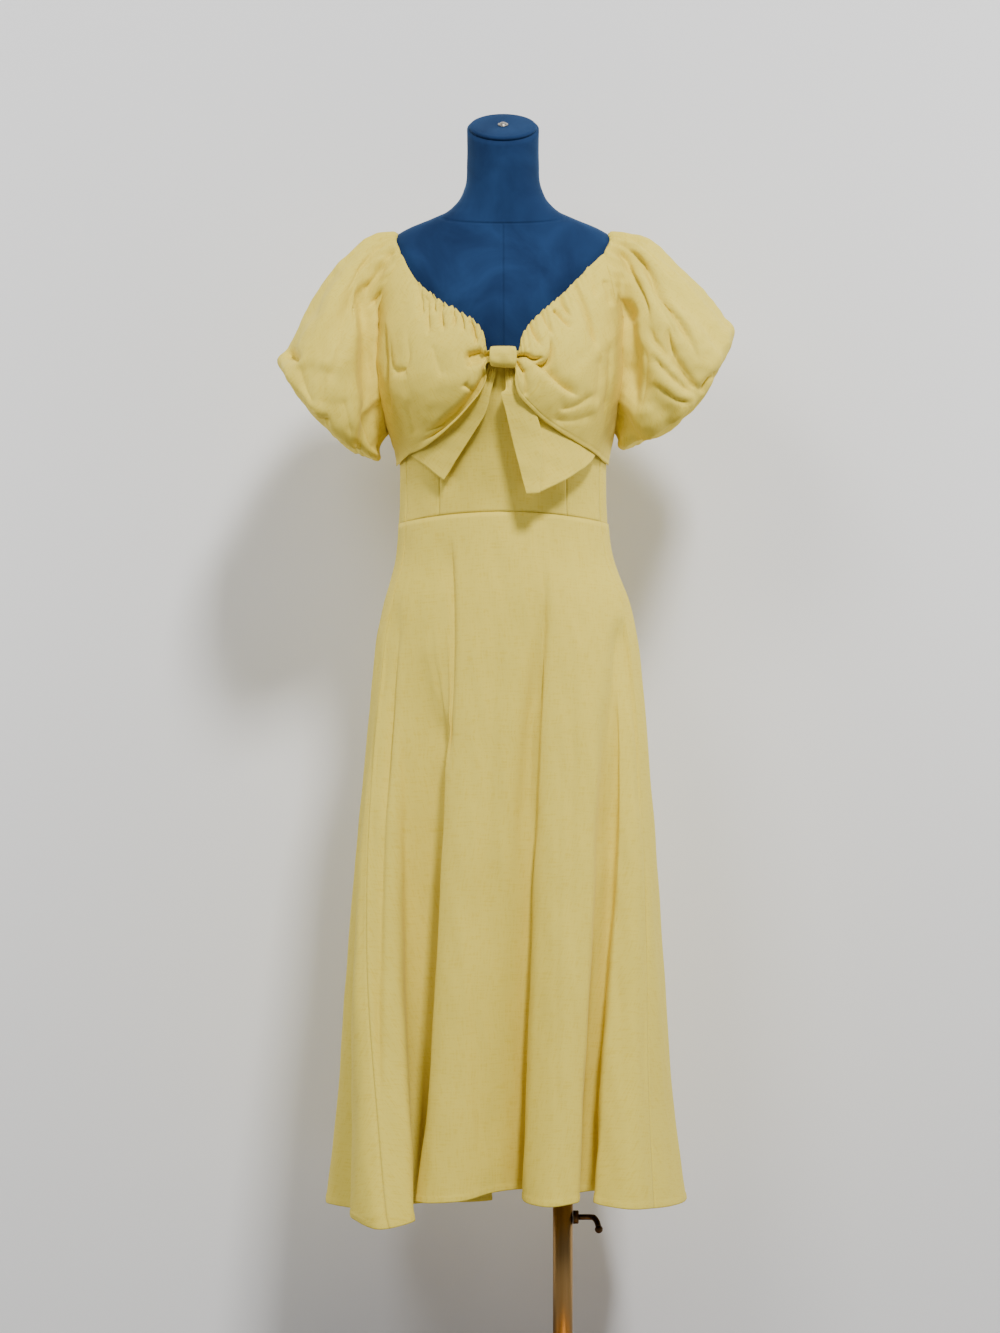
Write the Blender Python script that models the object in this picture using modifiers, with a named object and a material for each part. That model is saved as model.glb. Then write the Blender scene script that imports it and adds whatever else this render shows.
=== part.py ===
"""Puff sleeve midi dress on a limbless dress form with a brass stand.

World frame: the pole stands on the Z axis, the floor is z = 0, the front faces -Y and
the wearer's right is -X. The torso's centre line lies beside the pole, at TORSO_X.
A turn round the torso is measured from the front centre, positive towards +X.
"""
import math
from collections import namedtuple

import bmesh
import bpy
import numpy as np
from mathutils import Matrix, Vector

# Driving sizes, in metres
OBJECT_NAME = "puff_sleeve_midi_dress"
TORSO_X = -0.073           # torso's centre line, seen from the pole
WALL = 0.0016              # cloth with its turned edges
SEAM = 0.0003              # gap between two pieces at a seam
LAY = 0.0022               # one cloth lying on another, middle to middle
WAIST_Z = 1.1105           # waist seam at the front centre
WAIST_DIP = 0.0120         # how much lower the waist seam runs at the side
PRINCESS_TURN = 37.5       # degrees, princess seams of the bodice front
SIDE_SEAM_TURN = 68.0      # degrees, side seams of bodice and skirt
FORM_BOTTOM_Z = 0.780
POLE_RADIUS = 0.01225      # outer tube
POLE_WALL = 0.0015
INNER_RADIUS = 0.0103
BASE_RADIUS = 0.170
BASE_HEIGHT = 0.012

# Dress form: half width and depths of each ring, and how far the bodice hangs off it
FormRing = namedtuple("FormRing", "height half_width front back ease")
FORM = [
    FormRing(0.780, 0.1280, 0.0820, 0.0950, 0.0100),
    FormRing(0.805, 0.1430, 0.0930, 0.1080, 0.0100),
    FormRing(0.850, 0.1500, 0.0990, 0.1160, 0.0100),
    FormRing(0.900, 0.1500, 0.1020, 0.1200, 0.0100),
    FormRing(1.000, 0.1330, 0.0950, 0.1040, 0.0100),
    FormRing(1.100, 0.1175, 0.0840, 0.0830, 0.0095),
    FormRing(1.180, 0.1170, 0.0960, 0.0830, 0.0095),
    FormRing(1.268, 0.1280, 0.1210, 0.0900, 0.0120),
    FormRing(1.320, 0.1355, 0.1160, 0.0940, 0.0100),
    FormRing(1.360, 0.1430, 0.1040, 0.0960, 0.0070),
    FormRing(1.400, 0.1510, 0.0850, 0.0940, 0.0045),
    FormRing(1.425, 0.1480, 0.0700, 0.0840, 0.0030),
    FormRing(1.440, 0.1395, 0.0600, 0.0740, 0.0028),
    FormRing(1.452, 0.1275, 0.0520, 0.0640, 0.0023),
    FormRing(1.460, 0.1130, 0.0480, 0.0590, 0.0026),
    FormRing(1.470, 0.0885, 0.0455, 0.0540, 0.0014),
    FormRing(1.479, 0.0690, 0.0445, 0.0500, 0.0014),
    FormRing(1.489, 0.0573, 0.0440, 0.0470, 0.0014),
    FormRing(1.508, 0.0470, 0.0435, 0.0450, 0.0014),
    FormRing(1.540, 0.0440, 0.0440, 0.0440, 0.0014),
    FormRing(1.580, 0.0440, 0.0440, 0.0440, 0.0014),
]
NECK_TILT = math.radians(27.0)     # the neck is cut off at a slant, facing forward
NECK_TILT_START = 1.520            # below this height the rings are level
CAP_RADIUS = 0.0410
CAP_HEIGHT = 0.0060
CAP_BEVEL = 0.0012
BOLT_RADIUS = 0.0060
BOLT_TOP_RADIUS = 0.0050
BOLT_HEIGHT = 0.0035

# Skirt without folds: half width, centre, depth to the front and to the back
SkirtRing = namedtuple("SkirtRing", "height half_width centre front back")
SKIRT = [
    SkirtRing(0.275, 0.2190, 0.002, 0.1650, 0.1700),
    SkirtRing(0.372, 0.2056, 0.002, 0.1550, 0.1620),
    SkirtRing(0.567, 0.1910, 0.002, 0.1420, 0.1520),
    SkirtRing(0.762, 0.1770, 0.004, 0.1300, 0.1420),
    SkirtRing(0.908, 0.1645, 0.005, 0.1200, 0.1330),
    SkirtRing(0.957, 0.1590, 0.004, 0.1160, 0.1270),
    SkirtRing(1.006, 0.1480, 0.004, 0.1100, 0.1180),
    SkirtRing(1.055, 0.1325, 0.002, 0.1020, 0.1060),
    SkirtRing(1.113, 0.1265, 0.000, 0.0945, 0.0922),
]

# Hem of the skirt in plan, once round from the left side seam. Turn is the place at the
# waist that each point hangs from, start the height where its fold begins, sway how many
# degrees it swings aside halfway down, columns the wall's columns up to the next point.
HemPoint = namedtuple("HemPoint", "name turn x y height start sway columns")
HEM = [
    HemPoint("left_seam", -68.0, -0.1435, -0.2130, 0.262, 0.95, 0.0, 2),
    HemPoint("pillar_edge", -60.0, -0.1080, -0.1900, 0.268, 1.00, 1.5, 4),
    HemPoint("under_start", -52.0, -0.1150, -0.1150, 0.280, 1.07, 2.5, 2),
    HemPoint("under_end", -43.0, -0.0260, -0.0990, 0.283, 1.07, 3.5, 1),
    HemPoint("under_turn", -40.5, -0.0120, -0.1130, 0.286, 1.08, 4.0, 1),
    HemPoint("middle_start", -38.5, -0.0240, -0.1300, 0.287, 1.08, 4.4, 4),
    HemPoint("middle_end", -31.5, -0.0880, -0.1450, 0.289, 1.08, 4.4, 1),
    HemPoint("panel_edge", -30.0, -0.0990, -0.1590, 0.289, 1.08, 4.4, 1),
    HemPoint("panel_start", -28.0, -0.0900, -0.1740, 0.289, 1.08, 4.4, 2),
    HemPoint("panel_middle", -18.0, -0.0520, -0.1780, 0.291, 1.08, 2.2, 3),
    HemPoint("panel_rise", -4.0, -0.0060, -0.1500, 0.300, 1.08, 0.0, 3),
    HemPoint("second_valley", 13.0, 0.0310, -0.1130, 0.298, 1.04, 0.0, 2),
    HemPoint("second_lip", 17.0, 0.0240, -0.1520, 0.292, 1.04, 0.0, 1),
    HemPoint("second_edge", 20.0, 0.0260, -0.1720, 0.290, 1.02, 0.0, 2),
    HemPoint("second_fold", 31.0, 0.0560, -0.2020, 0.287, 1.00, 0.0, 2),
    HemPoint("second_side", 40.0, 0.0850, -0.1840, 0.290, 0.95, 0.0, 2),
    HemPoint("third_valley", 48.0, 0.0950, -0.1140, 0.296, 0.92, 0.0, 2),
    HemPoint("third_bottom", 52.0, 0.1130, -0.1100, 0.297, 0.92, 0.0, 2),
    HemPoint("third_edge", 56.0, 0.1090, -0.1680, 0.288, 0.92, 0.0, 2),
    HemPoint("third_fold", 61.0, 0.1450, -0.1760, 0.282, 0.92, 0.0, 2),
    HemPoint("right_seam", 68.0, 0.1800, -0.1400, 0.279, 0.95, 0.0, 2),
    HemPoint("right_side", 91.0, 0.2220, -0.0150, 0.278, 1.00, 0.0, 3),
    HemPoint("back_dip_1", 112.0, 0.1880, 0.0780, 0.279, 0.95, 0.0, 3),
    HemPoint("back_fold_1", 130.0, 0.1640, 0.1660, 0.275, 1.00, 0.0, 3),
    HemPoint("back_dip_2", 147.0, 0.0950, 0.1290, 0.279, 0.95, 0.0, 3),
    HemPoint("back_fold_2", 164.0, 0.0570, 0.2020, 0.274, 1.02, 0.0, 3),
    HemPoint("back_dip_3", 180.0, -0.0010, 0.1480, 0.279, 0.98, 0.0, 3),
    HemPoint("back_fold_3", 197.0, -0.0620, 0.2060, 0.274, 1.02, 0.0, 3),
    HemPoint("back_dip_4", 214.0, -0.1040, 0.1330, 0.279, 0.95, 0.0, 3),
    HemPoint("back_fold_4", 232.0, -0.1680, 0.1700, 0.275, 1.00, 0.0, 3),
    HemPoint("back_dip_5", 249.0, -0.1930, 0.0820, 0.279, 0.95, 0.0, 3),
    HemPoint("left_side", 268.0, -0.2150, -0.0250, 0.274, 0.98, 0.0, 3),
    HemPoint("left_dip", 281.0, -0.1730, -0.1000, 0.272, 0.86, 0.0, 2),
    HemPoint("left_edge", 286.0, -0.1800, -0.1560, 0.272, 0.90, 0.0, 3),
]
SKIRT_ROWS = 13
FOLD_GROWTH = 1.15         # a fold deepens a little faster towards the hem
SEAM_COLUMN = 0.003        # a narrow column beside each seam keeps the walls parallel there

# Edges of the bust drapes and tails: a place on the bodice and how far it stands off it
Place = namedtuple("Place", "turn height lift")
DRAPE_NECK = {
    "left": [Place(-1.5, 1.2990, 0.0200), Place(-5.6, 1.2990, 0.0200), Place(-8.3, 1.3220, 0.0190),
             Place(-11.3, 1.3350, 0.0170), Place(-18.6, 1.3480, 0.0130), Place(-30.4, 1.3670, 0.0080),
             Place(-38.0, 1.3860, 0.0055), Place(-45.0, 1.4060, 0.0042), Place(-52.0, 1.4240, 0.0036)],
    "right": [Place(-1.5, 1.2990, 0.0200), Place(-5.6, 1.2990, 0.0200), Place(-8.1, 1.3200, 0.0190),
              Place(-10.9, 1.3320, 0.0170), Place(-18.0, 1.3520, 0.0130), Place(-28.0, 1.3750, 0.0080),
              Place(-34.0, 1.3910, 0.0055), Place(-41.0, 1.4100, 0.0042), Place(-50.0, 1.4240, 0.0036)],
}
DRAPE_SIDE = [
    Place(-52.0, 1.4240, 0.0036), Place(-59.0, 1.3750, 0.0045), Place(-71.0, 1.3230, 0.0080),
    Place(-81.0, 1.2620, 0.0095), Place(-88.0, 1.2180, 0.0045), Place(-88.0, 1.1735, LAY),
]
DRAPE_LOWER = {
    "left": [Place(-1.5, 1.2850, 0.0200), Place(-6.3, 1.2870, 0.0210), Place(-10.2, 1.2585, 0.0200),
             Place(-18.3, 1.2350, 0.0180), Place(-26.0, 1.2125, 0.0150), Place(-40.0, 1.1900, 0.0120),
             Place(-58.0, 1.1810, 0.0070), Place(-88.0, 1.1710, LAY)],
    "right": [Place(-1.5, 1.2850, 0.0200), Place(-5.8, 1.2860, 0.0220), Place(-7.4, 1.2580, 0.0250),
              Place(-11.3, 1.2350, 0.0240), Place(-18.3, 1.2195, 0.0210), Place(-35.0, 1.1985, 0.0160),
              Place(-57.0, 1.1825, 0.0090), Place(-88.0, 1.1720, LAY)],
}
DRAPE_FULLNESS = 0.010     # the gathered cup stands this much further off the form
DRAPE_GATHERS = 7          # folds that run from the knot to the side
GATHER_DEPTH = 0.0022
DRAPE_COLUMNS = 20
DRAPE_ROWS = 11

# Tails from the knot to the cut end: rows of places from the inner to the outer edge
TAIL_LEFT = [
    [Place(-2.0, 1.2880, LAY), Place(-4.0, 1.2885, LAY), Place(-6.5, 1.2890, LAY)],
    [Place(-4.8, 1.2600, 0.0070), Place(-8.0, 1.2640, 0.0080), Place(-11.0, 1.2660, 0.0080)],
    [Place(-8.3, 1.2310, 0.0090), Place(-17.0, 1.2350, 0.0080), Place(-24.0, 1.2370, 0.0060)],
    [Place(-14.5, 1.2030, 0.0105), Place(-27.0, 1.2090, 0.0075), Place(-37.0, 1.2090, 0.0050)],
    [Place(-22.5, 1.1800, 0.0110), Place(-38.0, 1.1880, 0.0070), Place(-51.0, 1.1900, 0.0040)],
    [Place(-33.0, 1.1490, 0.0110), Place(-46.0, 1.1640, 0.0070), Place(-60.3, 1.1790, 0.0032)],
]
TAIL_RIGHT = [
    [Place(1.0, 1.2880, LAY), Place(4.0, 1.2885, LAY), Place(7.0, 1.2890, LAY)],
    [Place(-0.5, 1.2480, 0.0150), Place(9.0, 1.2400, 0.0170), Place(17.0, 1.2380, 0.0070)],
    [Place(4.8, 1.1890, 0.0310), Place(16.8, 1.1900, 0.0310), Place(38.0, 1.2020, 0.0040)],
    [Place(9.7, 1.1300, 0.0450), Place(14.0, 1.1310, 0.0470), Place(60.0, 1.1780, 0.0055)],
]
TAIL_COLUMNS = 6
TAIL_ROWS = 8

BAND_WIDTH = 0.034         # knot band, along X
BAND_DEPTH = 0.0276        # front to back, middle of the wall
BAND_TOP_Z = 1.3050
BAND_BOTTOM_Z = 1.2790
BAND_Y = -0.1497           # middle of the band's loop

# Where the sleeve is sewn on: once round the armhole, from the shoulder to the front
Armhole = namedtuple("Armhole", "station turn height lift")
ARMHOLE = [
    Armhole(0, -91.0, 1.4530, 0.0000),
    Armhole(25, -70.0, 1.4460, 0.0012),
    Armhole(45, -49.5, 1.4160, 0.0062),
    Armhole(70, -56.0, 1.3720, 0.0072),
    Armhole(100, -68.0, 1.3230, 0.0105),
    Armhole(130, -78.0, 1.2620, 0.0122),
    Armhole(160, -86.5, 1.2210, 0.0078),
    Armhole(180, -94.0, 1.2130, 0.0048),
    Armhole(200, -102.0, 1.2220, 0.0030),
    Armhole(230, -112.0, 1.2620, 0.0024),
    Armhole(260, -120.0, 1.3250, LAY),
    Armhole(290, -126.5, 1.3800, LAY),
    Armhole(315, -130.0, 1.4180, LAY),
    Armhole(337, -112.0, 1.4450, 0.0012),
]

# Puff from the shoulder to the cuff: the ring's outer and inner ends as seen from the
# front, its depth each way, and how far its middle hangs past the line between the ends
PuffRing = namedtuple("PuffRing", "outer_x outer_z inner_x inner_z front back sag")
PUFF = {
    "left": [
        PuffRing(-0.1580, 1.4490, -0.1450, 1.2050, 0.088, 0.090, 0.000),
        PuffRing(-0.1845, 1.4290, -0.1480, 1.1980, 0.101, 0.099, 0.000),
        PuffRing(-0.2160, 1.3970, -0.1500, 1.1900, 0.109, 0.107, 0.004),
        PuffRing(-0.2400, 1.3560, -0.1500, 1.1820, 0.112, 0.110, 0.008),
        PuffRing(-0.2610, 1.3140, -0.1490, 1.1760, 0.109, 0.107, 0.013),
        PuffRing(-0.2735, 1.2960, -0.1485, 1.1720, 0.101, 0.099, 0.018),
        PuffRing(-0.2580, 1.2730, -0.1500, 1.1700, 0.086, 0.086, 0.019),
        PuffRing(-0.2470, 1.2640, -0.1590, 1.1740, 0.069, 0.069, 0.010),
        PuffRing(-0.2310, 1.2660, -0.1640, 1.1900, 0.054, 0.054, 0.004),
    ],
    "right": [
        PuffRing(0.1510, 1.4535, 0.1400, 1.2100, 0.088, 0.090, 0.000),
        PuffRing(0.1800, 1.4450, 0.1420, 1.2040, 0.101, 0.099, 0.000),
        PuffRing(0.2150, 1.4130, 0.1410, 1.1985, 0.109, 0.107, 0.005),
        PuffRing(0.2470, 1.3790, 0.1390, 1.1945, 0.112, 0.110, 0.008),
        PuffRing(0.2695, 1.3500, 0.1390, 1.1915, 0.109, 0.107, 0.015),
        PuffRing(0.2810, 1.3350, 0.1410, 1.1900, 0.102, 0.100, 0.022),
        PuffRing(0.2720, 1.3060, 0.1450, 1.1900, 0.088, 0.088, 0.023),
        PuffRing(0.2560, 1.3000, 0.1530, 1.1960, 0.070, 0.070, 0.012),
        PuffRing(0.2380, 1.2960, 0.1580, 1.2080, 0.054, 0.054, 0.004),
    ],
}
# Folds of the puffs: where they lie round the sleeve, their half width and depth
PuffFold = namedtuple("PuffFold", "station half_width depth")
PUFF_FOLDS = {
    "left": [PuffFold(20, 16, 0.004), PuffFold(62, 16, 0.007), PuffFold(100, 18, 0.005),
             PuffFold(138, 16, 0.012), PuffFold(176, 15, 0.006), PuffFold(222, 20, 0.006),
             PuffFold(262, 18, 0.006), PuffFold(302, 18, 0.007), PuffFold(338, 15, 0.004)],
    "right": [PuffFold(14, 15, 0.004), PuffFold(44, 14, 0.008), PuffFold(80, 16, 0.005),
              PuffFold(112, 14, 0.008), PuffFold(146, 16, 0.011), PuffFold(182, 15, 0.006),
              PuffFold(228, 20, 0.006), PuffFold(270, 18, 0.007), PuffFold(312, 18, 0.006)],
}
PUFF_COLUMNS = 32
PUFF_ROWS = 12

# Neck edge and armhole edge of the back, from the side seam to the back centre
BackEdge = namedtuple("BackEdge", "turn height")
BACK_TOP = [
    BackEdge(66.0, 1.2080), BackEdge(80.0, 1.2090), BackEdge(95.0, 1.2110), BackEdge(103.0, 1.2330),
    BackEdge(110.0, 1.2700), BackEdge(117.5, 1.3250), BackEdge(124.0, 1.3800), BackEdge(129.0, 1.4180),
    BackEdge(140.0, 1.4170), BackEdge(160.0, 1.4070), BackEdge(180.0, 1.4040),
]
BODICE_TOP_Z = 1.2930      # the under-bodice stops behind the knot and the drapes
BODICE_ROWS = 7

CLAMP_Z = 0.2530
TUBE_TOP_Z = 0.2850
INNER_BOTTOM_Z = 0.0900
NUT_RADIUS = 0.0082
NUT_LENGTH = 0.0068
CRANK_RADIUS = 0.0032
CRANK_BALL = 0.0046
CRANK_REACH = 0.0190       # straight part, along X
CRANK_DROP = 0.0110


def slopes(knots, values, closed_step=None):
    """Tangents of a smooth curve through values at uneven knots."""
    knots = np.asarray(knots, float)
    values = np.asarray(values, float)
    if closed_step is not None:
        before = values[-2:-1] - (values[-1:] - values[:1])
        after = values[1:2] + (values[-1:] - values[:1])
        knots = np.concatenate([[knots[0] - closed_step[0]], knots, [knots[-1] + closed_step[1]]])
        values = np.concatenate([before, values, after])
    step = np.diff(knots)
    rate = np.diff(values, axis=0) / step.reshape((-1,) + (1,) * (values.ndim - 1))
    weight = step.reshape((-1,) + (1,) * (values.ndim - 1))
    inner = (rate[:-1] * weight[1:] + rate[1:] * weight[:-1]) / (weight[:-1] + weight[1:])
    if closed_step is not None:
        return inner
    return np.concatenate([rate[:1], inner, rate[-1:]])


def along(knots, values, tangents, place):
    """Value of the smooth curve at one place."""
    place = min(max(place, knots[0]), knots[-1])
    index = int(np.searchsorted(knots, place, side="right")) - 1
    index = min(max(index, 0), len(knots) - 2)
    span = knots[index + 1] - knots[index]
    t = (place - knots[index]) / span
    return (values[index] * (2 * t ** 3 - 3 * t ** 2 + 1) + values[index + 1] * (3 * t ** 2 - 2 * t ** 3)
            + tangents[index] * span * (t ** 3 - 2 * t ** 2 + t) + tangents[index + 1] * span * (t ** 3 - t ** 2))


class Table:
    """Rows of numbers read smoothly by their first column."""

    def __init__(self, rows):
        self.rows = np.array([[cell for cell in row if not isinstance(cell, str)] for row in rows], float)
        self.knots = self.rows[:, 0]
        self.tangents = slopes(self.knots, self.rows)

    def at(self, place):
        return along(self.knots, self.rows, self.tangents, place)[1:]


class Route:
    """A smooth route through rows of numbers, read by the share of its length from 0 to 1."""

    def __init__(self, rows, scale):
        self.rows = np.array(rows, float)
        steps = np.linalg.norm(np.diff(self.rows * np.array(scale), axis=0), axis=1)
        self.knots = np.concatenate([[0.0], np.cumsum(steps)]) / steps.sum()
        self.tangents = slopes(self.knots, self.rows)

    def at(self, share):
        return along(self.knots, self.rows, self.tangents, share)


def ring_point(half_width, front, back, turn, height, centre=0.0):
    """Point of an egg-shaped ring at a turn in degrees."""
    angle = math.radians(turn)
    depth = front if math.cos(angle) > 0 else back
    return Vector((TORSO_X + centre + half_width * math.sin(angle), -depth * math.cos(angle), height))


FORM_TABLE = Table(FORM)


def bodice_point(turn, height, lift=0.0):
    """Point of the bodice's cloth, or of what lies on it at a lift."""
    half_width, front, back, ease = FORM_TABLE.at(height)
    off = ease + lift
    return ring_point(half_width + off, front + off, back + off, turn, height)


def waist_height(turn):
    return WAIST_Z - WAIST_DIP * math.sin(math.radians(turn)) ** 2


def finish(obj, material):
    """Gives an object its material and smooth shading, and files it with the dress."""
    obj.data.materials.clear()
    obj.data.materials.append(material)
    parts.objects.link(obj)
    return obj


def mesh_object(name, bm, material):
    mesh = bpy.data.meshes.new(name)
    bm.to_mesh(mesh)
    bm.free()
    mesh.shade_smooth()
    return finish(bpy.data.objects.new(name, mesh), material)


def cloth_sheet(name, point_at, columns, rows, material, closed=False):
    """A cloth wall through point_at(u, v), where u and v are row numbers made shares of 1."""
    bm = bmesh.new()
    bmesh.ops.create_grid(bm, x_segments=columns, y_segments=rows, size=1.0)
    for vert in bm.verts:
        vert.co = point_at((vert.co.x + 1.0) / 2.0, (vert.co.y + 1.0) / 2.0)
    if closed:
        bmesh.ops.remove_doubles(bm, verts=bm.verts, dist=1e-6)
    obj = mesh_object(name, bm, material)
    wall = obj.modifiers.new("wall", "SOLIDIFY")
    wall.thickness = WALL
    wall.offset = 0.0
    return obj


def simple_material(name, colour, roughness, metallic):
    material = bpy.data.materials.new(name)
    material.use_nodes = True
    shader = material.node_tree.nodes["Principled BSDF"]
    shader.inputs["Base Color"].default_value = (*colour, 1.0)
    shader.inputs["Roughness"].default_value = roughness
    shader.inputs["Metallic"].default_value = metallic
    return material


class SkirtShape:
    """The skirt's cloth: a flared ring that takes the folds of the hem as it falls."""

    def __init__(self):
        points = np.array([[p.x, p.y] for p in HEM] + [[HEM[0].x, HEM[0].y]])
        steps = np.linalg.norm(np.diff(points, axis=0), axis=1)
        self.knots = np.concatenate([[0.0], np.cumsum(steps)])
        self.length = self.knots[-1]
        ends = (steps[-1], steps[0])
        turns = [p.turn for p in HEM] + [HEM[0].turn + 360.0]
        others = [[p.x, p.y, p.height, p.start, p.sway] for p in HEM]
        others.append(others[0])
        self.turns = np.array(turns)
        self.others = np.array(others)
        self.other_tangents = slopes(self.knots, self.others, ends)
        self.table = Table(SKIRT)

    def turn_at(self, place):
        return float(np.interp(place, self.knots, self.turns))

    def place_of(self, name):
        return self.knots[[p.name for p in HEM].index(name)]

    def ring(self, turn, height):
        half_width, centre, front, back = self.table.at(height)
        return ring_point(half_width, front, back, turn, height, centre)

    def point(self, place, fall):
        """Cloth point at a place along the hem and a share of the fall from the waist."""
        place = place % self.length
        turn = self.turn_at(place)
        x, y, hem_height, start, sway = along(self.knots, self.others, self.other_tangents, place)
        top = waist_height(turn)
        height = top + (hem_height - top) * fall
        half_width, centre, front, back = self.table.at(hem_height)
        across, ahead = (x - centre) / half_width, -y / (front if y < 0 else back)
        hem_turn = turn + (math.degrees(math.atan2(across, ahead)) - turn + 180.0) % 360.0 - 180.0
        fold = max(0.0, (start - height) / (start - hem_height)) ** FOLD_GROWTH
        new_turn = turn + (hem_turn - turn) * fold + sway * 4.0 * fall * (1.0 - fall)
        reach = 1.0 + (math.hypot(across, ahead) - 1.0) * fold
        ring = self.ring(new_turn, height)
        middle = TORSO_X + self.table.at(height)[1]
        return Vector((middle + (ring.x - middle) * reach, ring.y * reach, height))


def panel_places(shape, first, last):
    """Places of the wall's columns between two hem points."""
    names = [p.name for p in HEM]
    index = names.index(first)
    places = [shape.knots[index]]
    while True:
        start, end = shape.knots[index], shape.knots[index + 1]
        count = HEM[index].columns
        places += [start + (end - start) * (k + 1) / count for k in range(count)]
        index += 1
        if index == len(HEM) or names[index] == last:
            break
    return [places[0], places[0] + SEAM_COLUMN] + places[1:-1] + [places[-1] - SEAM_COLUMN, places[-1]]


def skirt_panel(name, first, last, material):
    shape = SkirtShape()
    places = panel_places(shape, first, last)
    columns = len(places) - 1

    def point_at(u, v):
        column = round(u * columns)
        fall = 1.0 - v
        point = shape.point(places[column], fall)
        if column in (0, columns):
            inside = shape.point(places[1 if column == 0 else columns - 1], fall)
            point += (inside - point).normalized() * SEAM / 2
        if v > 1.0 - 1e-6:
            point.z -= SEAM * 0.75
        return point

    return cloth_sheet(name, point_at, columns, SKIRT_ROWS, material)


def bodice_panel(name, first_turn, last_turn, top_of, columns, rows, material):
    """A fitted bodice piece between two seams, from the waist to the edge top_of(turn)."""
    gap = math.degrees(SEAM / 2 / 0.115)

    def point_at(u, v):
        turn = first_turn + gap + (last_turn - first_turn - 2 * gap) * u
        bottom = waist_height(turn) + SEAM * 0.75
        return bodice_point(turn, bottom + (top_of(turn) - bottom) * v)

    return cloth_sheet(name, point_at, columns, rows, material)


def mirrored(place, side):
    """Tables of the drapes are written for the left side; the right one turns the other way."""
    turn, height, lift = place
    return (turn if side == "left" else -turn, height, lift)


class DrapeShape:
    """One gathered bow loop over the bust, between its four edges."""

    def __init__(self, side):
        scale = (0.0025, 1.0, 1.0)
        self.side = side
        self.neck = Route([mirrored(p, side) for p in DRAPE_NECK[side]], scale)
        self.lower = Route([mirrored(p, side) for p in DRAPE_LOWER[side]], scale)
        outer = [mirrored(p, side) for p in DRAPE_SIDE]
        outer[0] = mirrored(DRAPE_NECK[side][-1], side)
        outer[-1] = mirrored(DRAPE_LOWER[side][-1], side)
        self.outer = Route(outer, scale)

    def point(self, u, v):
        """u runs from the knot to the side, v from the neck edge to the lower edge."""
        neck = self.neck.at(u)
        lower = self.lower.at(u)
        knot = self.neck.at(0.0) * (1 - v) + self.lower.at(0.0) * v
        outer = self.outer.at(v)
        corners = ((1 - u) * ((1 - v) * self.neck.at(0.0) + v * self.lower.at(0.0))
                   + u * ((1 - v) * self.neck.at(1.0) + v * self.lower.at(1.0)))
        turn, height, lift = (1 - v) * neck + v * lower + (1 - u) * knot + u * outer - corners
        full = math.sin(math.pi * min(u * 1.05, 1.0)) * math.sin(math.pi * v) ** 0.8
        gathers = math.cos(2 * math.pi * DRAPE_GATHERS * v) * math.sin(math.pi * min(u * 1.4, 1.0)) ** 0.7
        lift += DRAPE_FULLNESS * full + GATHER_DEPTH * gathers * full
        return bodice_point(turn, height, lift)


def bust_drape(side, material):
    shape = DrapeShape(side)
    flip = side == "right"
    return cloth_sheet("bust_drape_" + side, lambda u, v: shape.point(1 - u if flip else u, v),
                       DRAPE_COLUMNS, DRAPE_ROWS, material)


def bow_tail(name, rows_of_places, material):
    """A hanging tail: each row of places is a smooth line, and the rows are joined smoothly."""
    rows = np.array(rows_of_places, float)
    knots = np.linspace(0.0, 1.0, len(rows))
    tangents = slopes(knots, rows)
    across = np.array([0.0, 0.5, 1.0])

    def point_at(u, v):
        row = along(knots, rows, tangents, 1.0 - v)
        cells = [float(np.interp(u, across, row[:, k])) for k in range(3)]
        return bodice_point(*cells)

    return cloth_sheet(name, point_at, TAIL_COLUMNS, TAIL_ROWS, material)


def knot_band(material):
    """The loop of cloth round the gathered middle: an oval band with its axis along X."""
    segments = 18
    middle_z = (BAND_TOP_Z + BAND_BOTTOM_Z) / 2

    def point_at(u, v):
        angle = 2 * math.pi * u
        across = (v - 0.5) * BAND_WIDTH * (1.0 - 0.08 * math.sin(angle) ** 2)
        return Vector((TORSO_X + across, BAND_Y - BAND_DEPTH / 2 * math.cos(angle),
                       middle_z + (BAND_TOP_Z - BAND_BOTTOM_Z) / 2 * math.sin(angle)))

    return cloth_sheet("bow_band", point_at, segments, 3, material, closed=True)


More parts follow.
